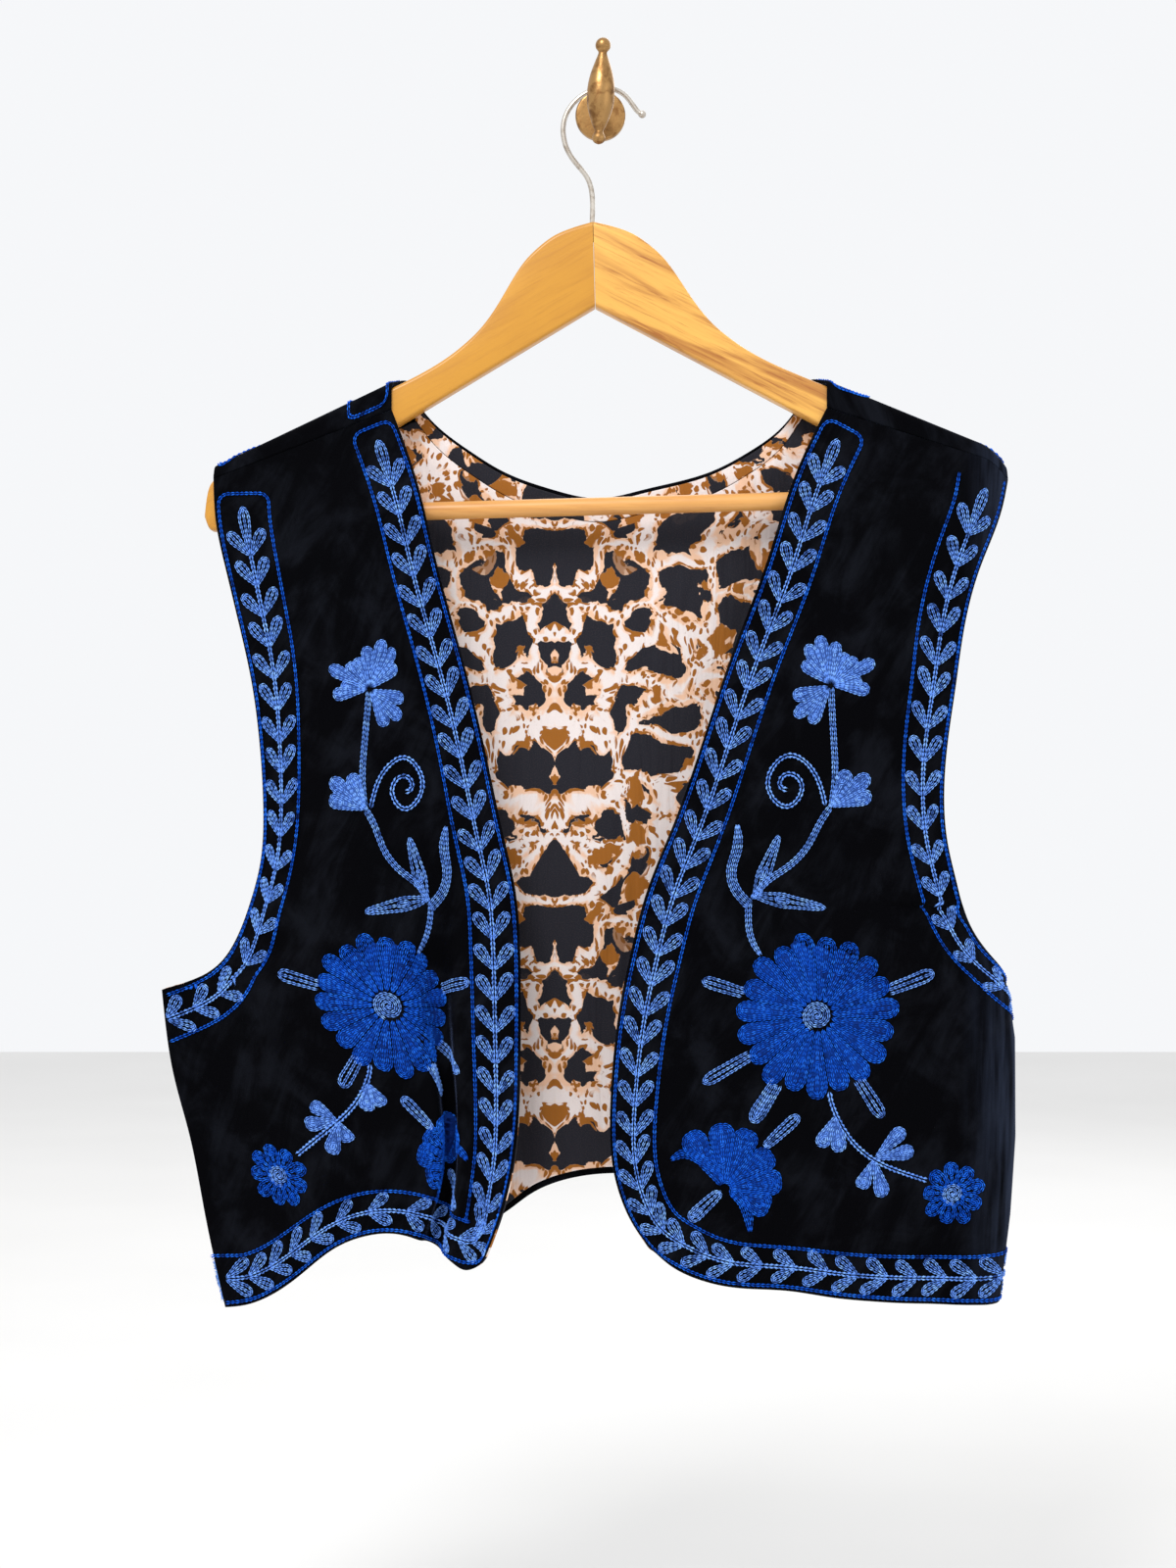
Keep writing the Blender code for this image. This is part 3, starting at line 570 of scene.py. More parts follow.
# Outlines as they hang, seen from the front: x, z. They are those of the CAD model.
RIGHT_EDGE: Table = (
    (-106, -226), (-94, -275), (-82, -319), (-69, -370), (-56, -430), (-49, -462), (-46, -501), (-46, -554),
    (-47, -586), (-50, -614), (-57, -644), (-65, -666),
)
RIGHT_HEM: Table = (
    (-65, -666), (-71, -677), (-78, -680), (-86, -676), (-104, -665), (-120, -661), (-137, -663), (-154, -670),
    (-171, -683), (-195, -700), (-209, -705), (-219, -706),
)
RIGHT_ARMHOLE: Table = (
    (-222, -251), (-217, -276), (-209, -310), (-202, -344), (-198, -378), (-196, -418), (-198, -446),
    (-204, -469), (-212, -490), (-223, -506), (-238, -515), (-256, -521),
)
RIGHT_SIDE: Table = ((-256, -521), (-249, -571), (-240, -605), (-231, -651), (-219, -706))
LEFT_EDGE: Table = (
    (111, -225), (96, -271), (76, -324), (59, -374), (41, -425), (27, -460), (17, -497), (10, -532), (6, -570),
    (5, -600), (7, -622), (11, -637), (19, -654), (28, -666),
)
LEFT_HEM: Table = (
    (28, -666), (40, -677), (53, -684), (66, -688), (82, -690), (107, -691), (134, -695), (161, -698),
    (188, -700), (218, -701), (252, -699),
)
LEFT_ARMHOLE: Table = (
    (231, -243), (219, -276), (210, -310), (205, -344), (200, -378), (198, -407), (200, -435), (205, -457),
    (211, -478), (218, -491), (229, -503), (244, -513), (259, -519),
)
LEFT_SIDE: Table = ((259, -519), (262, -548), (262, -605), (258, -650), (252, -699))
NECK_SCOOP: Table = (
    (-99, -188), (-76, -206), (-58, -217), (-28, -228), (-1, -233), (25, -228), (66, -217), (87, -206), (106, -192),
)
BACK_ARMHOLE_RIGHT: Table = (
    (-212, -264), (-201, -321), (-193, -378), (-191, -418), (-193, -447), (-201, -472), (-213, -497),
    (-234, -514), (-256, -521),
)
BACK_ARMHOLE_LEFT: Table = (
    (226, -252), (213, -298), (204, -344), (198, -378), (196, -407), (197, -435), (202, -464), (211, -490),
    (220, -509),
)
BACK_HEM: Table = (
    (-219, -706), (-186, -686), (-158, -670), (-123, -662), (-94, -661), (-62, -657), (-40, -642), (-13, -632),
    (8, -630), (50, -634), (108, -650), (166, -675), (226, -699),
)
# RIGHT_HANG: share of the length, then y at the front edge, at a third, at two thirds and at the side
RIGHT_HANG: Table = (
    (0.00, -68, -70, -70, -67), (0.18, -71, -75, -74, -64), (0.36, -73, -79, -77, -59),
    (0.52, -75, -80, -77, -54), (0.64, -77, -80, -74, -50.2), (0.80, -82, -78, -72, -50.2),
    (0.91, -86, -72, -68, -50.2), (1.00, -88, -66, -64, -50.2),
)
# LEFT_HANG: share of the length, then y at the front edge, at a third, at two thirds and at the side
LEFT_HANG: Table = (
    (0.00, -68, -70, -70, -68), (0.18, -72, -75, -75, -68), (0.36, -73, -79, -79, -69), (0.52, -75, -81, -80, -70),
    (0.64, -77, -82, -79, -70), (0.80, -79, -82, -78, -70), (1.00, -80, -79, -76, -70),
)
# Folds: middle x, half width, depth at the hem (+ is backwards), share where it starts
RIGHT_FOLDS: Table = ((-150, 22, 4.0, 0.55), (-205, 16, -3.0, 0.62), (-70, 9, 3.0, 0.25))
LEFT_FOLDS: Table = ((60, 20, 3.0, 0.60), (125, 26, -3.5, 0.50), (196, 14, 4.0, 0.60))
BACK_FOLDS: Table = (
    (-165, 28, 5.0, 0.20), (-55, 20, 5.0, 0.40), (45, 20, 4.0, 0.15), (108, 26, -4.0, 0.35), (172, 24, 4.0, 0.40),
)


def wrinkles(flat: Array, size: float, depth: float, seed: float) -> Array:
    """Small soft waves of worn cloth: a sum of slanted sines, each bent by another.

    Args:
        flat: Flat places, in the last axis.
        size: Length of the main waves.
        depth: Depth of the whole sum at most.
        seed: Number that shifts the pattern from piece to piece.

    Returns:
        Depths, shaped as the places.
    """
    x, z = flat[..., 0] / size, flat[..., 1] / size
    bent = x + 0.35 * np.sin(1.7 * z + seed) + 0.2 * np.sin(2.9 * x - z + 2 * seed)
    wave = np.sin(6.3 * bent + 0.7 * z) * np.sin(1.1 * z + 1.9 * seed)
    wave += 0.6 * np.sin(4.1 * x - 3.3 * z + 3.1 * seed) * np.sin(0.7 * x + 1.3 * z)
    wave += 0.35 * np.sin(9.7 * bent + 2.1 * z + seed) * np.sin(2.3 * z - 1.1 * x)
    return depth * wave / 1.95


def normals(places: Array, outward: float) -> Array:
    """Unit normals of a grid of places. In its last row, their y has the sign of outward."""
    found = unit(np.cross(np.gradient(places, axis=1), np.gradient(places, axis=0)))
    return found if found[-1, :, 1].sum() * outward > 0 else -found


def lifted(places: Array, outward: float, lift: Array) -> Array:
    """A grid's places moved along its normals."""
    return places + normals(places, outward) * lift[..., None]


def run_length(places: Array, axis: int) -> Array:
    """Lengths along the rows (axis 1) or columns (axis 0) of a grid, from its first line."""
    steps = np.linalg.norm(np.diff(places, axis=axis), axis=-1)
    return np.pad(np.cumsum(steps, axis=axis), ((1, 0), (0, 0)) if axis == 0 else ((0, 0), (1, 0)))


def from_border(places: Array) -> Array:
    """Distances of a grid's places from the nearest of its four borders, along its lines."""
    along, fall = run_length(places, 1), run_length(places, 0)
    return np.minimum.reduce([along, along[:, -1:] - along, fall, fall[-1:] - fall])


def border_lines(count: int, width: float, close: bool = True) -> Array:
    """Shares from 0 to 1, even but with close lines beside the borders for their round edge.

    Args:
        count: Even steps.
        width: The whole length, for the close lines' places.
        close: Whether there are close lines.

    Returns:
        Rising shares.
    """
    near = np.array([0.12, 0.45, 1.0, 2.0] if close else []) / width
    found = np.unique(np.concatenate([np.linspace(0, 1, count + 1), near, 1 - near]))
    return found[np.concatenate([[True], np.diff(found) > 0.1 / width])]


def grid_quads(rows: int, columns: int, start: int = 0) -> Array:
    """Corners of the faces of a grid, whose places are numbered row by row from start."""
    index = start + np.arange(rows * columns).reshape(rows, columns)
    return np.stack([index[:-1, :-1], index[1:, :-1], index[1:, 1:], index[:-1, 1:]], axis=-1).reshape(-1, 4)


def put_mesh(name: str, places: Array, faces: Sequence[Array], flat: Array | None = None) -> Piece:
    """Makes a smooth object at the origin from places in millimetres.

    Args:
        name: The piece's name.
        places: Rows of x, y, z.
        faces: Arrays of corners, each for faces with the same number of corners.
        flat: Flat places for the UV map, one row for each place.

    Returns:
        The object, in the scene.
    """
    sizes = np.concatenate([np.full(len(part), part.shape[1]) for part in faces])
    corners = np.concatenate([part.reshape(-1) for part in faces]).astype(np.int32)
    data = bpy.data.meshes.new(name)
    data.vertices.add(len(places))
    data.vertices.foreach_set("co", (places * MM).astype(np.float32).ravel())
    data.loops.add(len(corners))
    data.loops.foreach_set("vertex_index", corners)
    data.polygons.add(len(sizes))
    data.polygons.foreach_set("loop_start", np.concatenate([[0], np.cumsum(sizes)[:-1]]).astype(np.int32))
    data.polygons.foreach_set("use_smooth", np.ones(len(sizes), bool))
    data.update(calc_edges=True)
    if flat is not None:
        layer = data.uv_layers.new(name="Flat")
        layer.data.foreach_set("uv", (flat[corners] * MM).astype(np.float32).ravel())
    data.validate()
    made = bpy.data.objects.new(name, data)
    bpy.context.scene.collection.objects.link(made)
    return made


def put_tube(name: str, rings: Array, finish: Finish, sharp: float = 50.0) -> Piece:
    """Makes a closed object from rings of places; each end ring closes on its middle.

    The faces are turned outward by the sign of the volume that they hold.

    Args:
        name: The piece's name.
        rings: Rings by places by 3.
        finish: Its finish.
        sharp: Angle in degrees from which an edge stays crisp.

    Returns:
        The object.
    """
    count, around = rings.shape[:2]
    index = np.arange(count * around).reshape(count, around)
    ahead = np.roll(index, -1, axis=1)
    quads = np.stack([index[:-1], index[1:], ahead[1:], ahead[:-1]], axis=-1).reshape(-1, 4)
    first, last = count * around, count * around + 1
    caps = [
        np.stack([np.full(around, first), index[0], ahead[0]], axis=-1),
        np.stack([np.full(around, last), ahead[-1], index[-1]], axis=-1),
    ]
    places = np.concatenate([rings.reshape(-1, 3), rings[:1].mean(axis=1), rings[-1:].mean(axis=1)])
    a, b, c = (places[np.concatenate([quads[:, :3], quads[:, [0, 2, 3]], *caps])[:, k]] for k in range(3))
    faces = [quads, *caps]
    if (a * np.cross(b, c)).sum() < 0:
        faces = [part[:, ::-1] for part in faces]
    made = put_mesh(name, places, faces)
    made.data.materials.append(finish)
    made.data.set_sharp_from_angle(angle=math.radians(sharp))
    return made


@dataclass
class Block:
    """A grid of one panel: its outer face, its flat places and its distance from the borders."""

    places: Array
    flat: Array
    border: Array


@dataclass
class Skin:
    """A wall of cloth over blocks that share their meeting lines, with half-round borders."""

    name: str
    blocks: Sequence[Block]
    thickness: float
    outward: float
    edge: float = 1.0
    area: float = 0.0
    size: tuple[float, ...] = ()

    def build(self, outside: Finish, inside: Finish | None = None) -> Piece:
        """Makes the closed wall. Both faces lie at h from its middle, and h is the height of a
        half circle at the distance from the border, so that they meet in the border itself.

        Args:
            outside: Finish of the outer face.
            inside: Finish of the inner face, if another.

        Returns:
            The object.
        """
        places = np.concatenate([b.places.reshape(-1, 3) for b in self.blocks])
        flat = np.concatenate([b.flat.reshape(-1, 2) for b in self.blocks])
        border = np.concatenate([b.border.reshape(-1) for b in self.blocks])
        quads, start = [], 0
        for b in self.blocks:
            quads.append(grid_quads(*b.border.shape, start))
            start += b.border.size
        quads = np.concatenate(quads)
        _, first, joined = np.unique(np.round(places, 3), axis=0, return_index=True, return_inverse=True)
        joined = joined.reshape(-1)
        quads = joined[quads]
        near = np.full(len(first), np.inf)
        np.minimum.at(near, joined, border)
        places, flat, border = places[first], flat[first], near
        crossing = np.cross(places[quads[:, 2]] - places[quads[:, 0]], places[quads[:, 3]] - places[quads[:, 1]])
        if np.median(crossing[:, 1]) * self.outward < 0:
            quads, crossing = quads[:, ::-1], -crossing
        upright = np.zeros_like(places)
        for k in range(4):
            np.add.at(upright, quads[:, k], crossing)
        upright = unit(upright)
        half = self.thickness / 2
        round_part = np.clip(border / self.edge, 0, 1)
        rise = (half * np.sqrt(np.maximum(1 - (1 - round_part) ** 2, 0)))[:, None]
        middle = places - upright * half
        rim = border < 1e-6
        under = np.arange(len(places))
        under[~rim] = len(places) + np.arange((~rim).sum())
        inner = (middle - upright * rise)[~rim]
        everywhere = np.concatenate([middle + upright * rise, inner])
        made = put_mesh(self.name, everywhere, [quads, under[quads[:, ::-1]]], np.concatenate([flat, flat[~rim]]))
        across, up = flat[quads[:, 2]] - flat[quads[:, 0]], flat[quads[:, 3]] - flat[quads[:, 1]]
        self.area = float(np.abs(across[:, 0] * up[:, 1] - across[:, 1] * up[:, 0]).sum() / 2) * MM * MM
        self.size = self.size or tuple(float(extent) * MM for extent in np.ptp(flat, axis=0))
        made.data.materials.append(outside)
        if inside:
            made.data.materials.append(inside)
            turned = np.concatenate([np.zeros(len(quads)), np.ones(len(quads))]).astype(np.int32)
            made.data.polygons.foreach_set("material_index", turned)
        return made


@dataclass
class Ground:
    """A panel's outer face as the embroiderer uses it: flat places to places in the round."""

    blocks: Sequence[Block]
    outward: float

    def __post_init__(self) -> None:
        """Works out the face's normals and a coarse set of places to start the search from."""
        self.upright = [normals(b.places, self.outward) for b in self.blocks]
        self.coarse, self.start = [], []
        for k, b in enumerate(self.blocks):
            i, j = np.meshgrid(*map(picked, b.border.shape, (60, 45)), indexing="ij")
            self.coarse.append(b.flat[i, j].reshape(-1, 2))
            self.start.append(np.c_[np.full(i.size, k), i.ravel(), j.ravel()])
        self.coarse = np.concatenate(self.coarse)
        self.start = np.concatenate(self.start)

    @staticmethod
    def read(grid: Array, row: Array, column: Array) -> Array:
        """Values of a grid between its lines. Beyond the grid, its last cell runs on."""
        i = np.clip(np.floor(row).astype(int), 0, grid.shape[0] - 2)
        j = np.clip(np.floor(column).astype(int), 0, grid.shape[1] - 2)
        a, b = (row - i)[..., None], (column - j)[..., None]
        upper = grid[i, j] * (1 - b) + grid[i, j + 1] * b
        lower = grid[i + 1, j] * (1 - b) + grid[i + 1, j + 1] * b
        return upper * (1 - a) + lower * a

    def slopes(self, block: int, row: Array, column: Array) -> Array:
        """How the flat place changes with the row and the column, as 2 by 2 for each place."""
        flat = self.blocks[block].flat
        down = self.read(flat, row + 0.5, column) - self.read(flat, row - 0.5, column)
        along = self.read(flat, row, column + 0.5) - self.read(flat, row, column - 0.5)
        return np.stack([down, along], axis=-1)

    def locate(self, flat: Array) -> tuple[Array, Array]:
        """Finds which block and which row and column hold a flat place, by Newton's steps.

        Args:
            flat: Rows of flat x, z.

        Returns:
            The blocks, and rows of grid row and column.
        """
        at_once, rounds, longest, past = 1500, 9, 6, 1.5
        parts = np.array_split(flat, max(1, len(flat) // at_once))
        nearest = [((part[:, None] - self.coarse[None]) ** 2).sum(-1).argmin(1) for part in parts]
        block, *where = self.start[np.concatenate(nearest)].T
        where = np.array(where, float).T
        for k in range(len(self.blocks)):
            mine = block == k
            if not mine.any():
                continue
            at, target = where[mine], flat[mine]
            limit = np.array(self.blocks[k].border.shape) - 1.0
            for _ in range(rounds):
                miss = target - self.read(self.blocks[k].flat, at[:, 0], at[:, 1])
                step = np.linalg.solve(self.slopes(k, at[:, 0], at[:, 1]), miss[..., None])[..., 0]
                at = np.clip(at + np.clip(step, -longest, longest), -past, limit + past)
            where[mine] = at
        return block, where

    def place(self, flat: Array, offsets: Array, heights: Array) -> Array:
        """Puts small shapes round flat places onto the cloth.

        Args:
            flat: The shapes' middles, rows of flat x, z.
            offsets: Each shape's places from its middle, shapes by places by 2.
            heights: Heights above the cloth, shapes by places.

        Returns:
            Shapes by places by 3.
        """
        block, where = self.locate(flat)
        found = np.zeros(offsets.shape[:2] + (3,))
        for k in range(len(self.blocks)):
            mine = block == k
            if not mine.any():
                continue
            turn = np.linalg.inv(self.slopes(k, where[mine, 0], where[mine, 1]))
            at = where[mine, None] + np.einsum("nij,npj->npi", turn, offsets[mine])
            base = self.read(self.blocks[k].places, at[..., 0], at[..., 1])
            up = unit(self.read(self.upright[k], at[..., 0], at[..., 1]))
            found[mine] = base + up * heights[mine, :, None]
        return found


@dataclass
class FrontPanel:
    """A velvet front: its form, its place in the round at any share, and its cut plane."""

    name: str
    form: RightFrontForm | LeftFrontForm
    seed: float
    depth: float = 0.55

    def faces(self, u: Array, v: Array) -> tuple[Array, Array]:
        """The outer face with its small wrinkles, and the flat places.

        A row's flat x runs from the front edge by the length of the row in the round, so a
        pleat's cloth has its own room. Flat z is that of the hanging outline.

        Args:
            u: Shares across.
            v: Shares down.

        Returns:
            Places and flat places, v by u.
        """
        places = self.form.surface(u, v)
        sign = self.form.shoulder.side.value
        along = run_length(places, 1)
        edge = self.form.edge_line.share(v)[:, :1]
        flat = np.stack([edge + sign * along, places[..., 2]], axis=-1)
        calm = ease(v / 0.16)[:, None] * ease(u[None] / 0.03 + 0.35)
        lift = wrinkles(flat, 95.0, self.depth, self.seed) * calm
        return lifted(places, -1.0, lift), flat

    def block(self, across: int, down: int, close: bool) -> Block:
        """A grid of so many steps across and down, with close lines beside its borders or not."""
        places, flat = self.faces(border_lines(across, 215.0, close), border_lines(down, 490.0, close))
        return Block(places, flat, from_border(places))


@dataclass
class BackPanel:
    """The velvet back with both straps. Straps lie above the panel in its flat plane."""

    form: BackForm
    seed: float = 2.2
    depth: float = 0.7

    def columns(self, count: int) -> Array:
        """Shares across, with lines exactly at the two ends of the neck scoop."""
        low, high = self.form.neck
        wide = 500
        near = np.array([0.25, 0.6, 1.2, 2.2]) / wide
        even = [np.linspace(*ends) for ends in ((0, low, count // 4), (low, high, count // 2), (high, 1, count // 4))]
        close = [near, 1 - near, low + near, low - near, high - near, high + near]
        return np.unique(np.round(np.concatenate(even + close), 7))

    def body(self, u: Array, v: Array) -> tuple[Array, Array]:
        """The outer face below the straps with its wrinkles, and the flat places."""
        places = self.form.surface(u, v)
        flat = places[..., ::2].copy()
        lift = wrinkles(flat, 105.0, self.depth, self.seed) * ease(v / 0.12)[:, None] * 0.9
        return lifted(places, 1.0, lift), flat

    def strap(self, shoulder: Shoulder, shares: Array, last: Array) -> tuple[Array, Array]:
        """A strap from the seam over the ridge to the back's border.

        Args:
            shoulder: Which shoulder.
            shares: Shares from neck to tip, in the back's own order of columns.
            last: The back's places and flat places on its border there.

        Returns:
            Places and flat places, from the seam on, by shares.
        """
        places = shoulder.strap(shares).transpose(1, 0, 2)
        places[-1] = last
        fall = run_length(places, 0)
        across = np.broadcast_to(last[None, :, 0], places.shape[:2])
        return places, np.stack([across, last[None, :, 2] + fall[-1:] - fall], -1)

    def blocks(self, across: int, down: int, close: bool) -> list[Block]:
        """Grids of the panel: the body and both straps.

        Args:
            across: Rough steps across.
            down: Steps down.
            close: Whether close lines run beside the scoop and the hem.

        Returns:
            The three blocks.
        """
        u = self.columns(across)
        v = border_lines(down, 470.0, close)
        low, high = self.form.neck
        places, flat = self.body(u, v)
        along, fall = run_length(places, 1), run_length(places, 0)
        in_scoop = (u >= low - 1e-9) & (u <= high + 1e-9)
        corner = np.where(u < low, np.abs(along[:, -1:] * (u - low)), np.abs(along[:, -1:] * (u - high)))
        top = np.where(in_scoop[None], fall, np.hypot(fall, corner))
        border = np.minimum.reduce([along, along[:, -1:] - along, top, fall[-1:] - fall])
        found = [Block(places, flat, border)]
        for shoulder, mine, shares in (
            (self.form.right, u <= low + 1e-9, 1 - u / low),
            (self.form.left, u >= high - 1e-9, (u - high) / (1 - high)),
        ):
            strap, strap_flat = self.strap(shoulder, shares[mine], places[0, mine])
            across_strap, climb = run_length(strap, 1), run_length(strap, 0)
            edge = np.minimum.reduce([across_strap, across_strap[:, -1:] - across_strap, climb])
            found.append(Block(strap, strap_flat, edge))
        return found


@dataclass
class LiningPanel:
    """The cotton inside the back: a lining from under the neck facing to the hem, and the facing."""

    form: BackForm
    inward: float = 4.4
    facing: tuple[float, float] = (0.0055, 0.0305)
    lining: tuple[float, float] = (0.0312, 0.9915)
    inset_armhole: float = 0.012
    inset_side: float = 0.075
    steps: tuple[int, int] = (300, 240)

    def __post_init__(self) -> None:
        """Works out the back's inner side once, on an even grid."""
        places = self.form.surface(*(np.linspace(0, 1, count + 1) for count in self.steps))
        self.inner = places - normals(places, 1.0) * self.inward

    def block(self, u: Array, v: Array, creases: float) -> Block:
        """A grid of the cotton's face that looks into the vest.

        Args:
            u: Shares of the back's width, one row for each v.
            v: Shares of the back's length.
            creases: Depth of its creases.

        Returns:
            The block, with its distances from all four borders.
        """
        down = np.broadcast_to(v[:, None], u.shape)
        places = Ground.read(self.inner, down * self.steps[1], u * self.steps[0])
        flat = places[..., ::2].copy()
        x = flat[..., 0]
        pull = np.abs(wrinkles(flat * np.array([1.0, 0.28]), 42.0, 1.0, 1.3)) ** 1.4
        fine = np.abs(wrinkles(flat * np.array([1.0, 0.45]), 17.0, 1.0, 3.7)) ** 2
        under_neck = np.exp(-(((v - 0.05) / 0.12) ** 2))[:, None]
        at_hem = ease((v - 0.93) / 0.07)[:, None]
        puckers = at_hem * (0.5 + 0.5 * np.sin(x / 2.9 + 2 * np.sin(x / 17)))
        border = from_border(places)
        lift = creases * (1.3 * pull + fine * (0.5 + under_neck) + 0.5 * puckers) * ease(border / 9)
        return Block(lifted(places, -1.0, lift), flat, border)

    def skins(self) -> tuple[Skin, Skin]:
        """The walls of the lining and of the facing."""
        v = self.lining[0] + (self.lining[1] - self.lining[0]) * border_lines(150, 450.0)
        share = border_lines(170, 400.0)[None, :]
        inset = self.inset_armhole + (self.inset_side - self.inset_armhole) * ease((v - 0.30) / 0.34)
        lining = self.block(inset[:, None] + (1 - 2 * inset[:, None]) * share, v, 1.1)
        low, high = self.form.neck
        v = self.facing[0] + (self.facing[1] - self.facing[0]) * border_lines(8, 11.0)
        share = low + (high - low) * border_lines(150, 260.0)
        facing = self.block(np.broadcast_to(share, (len(v), len(share))), v, 0.35)
        strip = tuple(float(run_length(facing.places, k).max()) * MM for k in (1, 0))
        return (
            Skin("back_lining_cotton", [lining], 1.0, -1.0, 0.5),
            Skin("neck_facing_cotton", [facing], 1.0, -1.0, 0.5, size=strip),
        )


class Dye(Enum):
    """The two dyes of the embroidery wool."""

    LIGHT = "light_blue"
    ROYAL = "royal_blue"


class Leaf(Enum):
    """Outlines of leaves and petals, as share of the full half width along the length."""

    CLUB = (0.70, 0.55, 0.0, 0.0)
    FINGER = (0.80, 0.30, 0.5, 0.0)
    BLADE = (0.38, 0.60, 0.2, 0.55)
    WEDGE = (0.80, 1.0, 0.24, 0.0)
    ROUND = (0.62, 0.50, 0.45, 0.0)
    PETAL = (0.78, 0.85, 0.12, 0.0)

    def half_width(self, along: Array) -> Array:
        """Grows by a power up to its widest place, tapers from there, and closes in a round tip."""
        widest, power, start, taper = self.value
        grown = start + (1 - start) * np.clip(along / widest, 0, 1) ** power
        beyond = np.maximum(along - widest, 0) / (1 - widest)
        if taper:
            return grown * (1 - taper * beyond) * np.sqrt(np.clip((1 - along) / 0.12, 0, 1))
        return grown * np.sqrt(np.maximum(1 - beyond**2, 0))


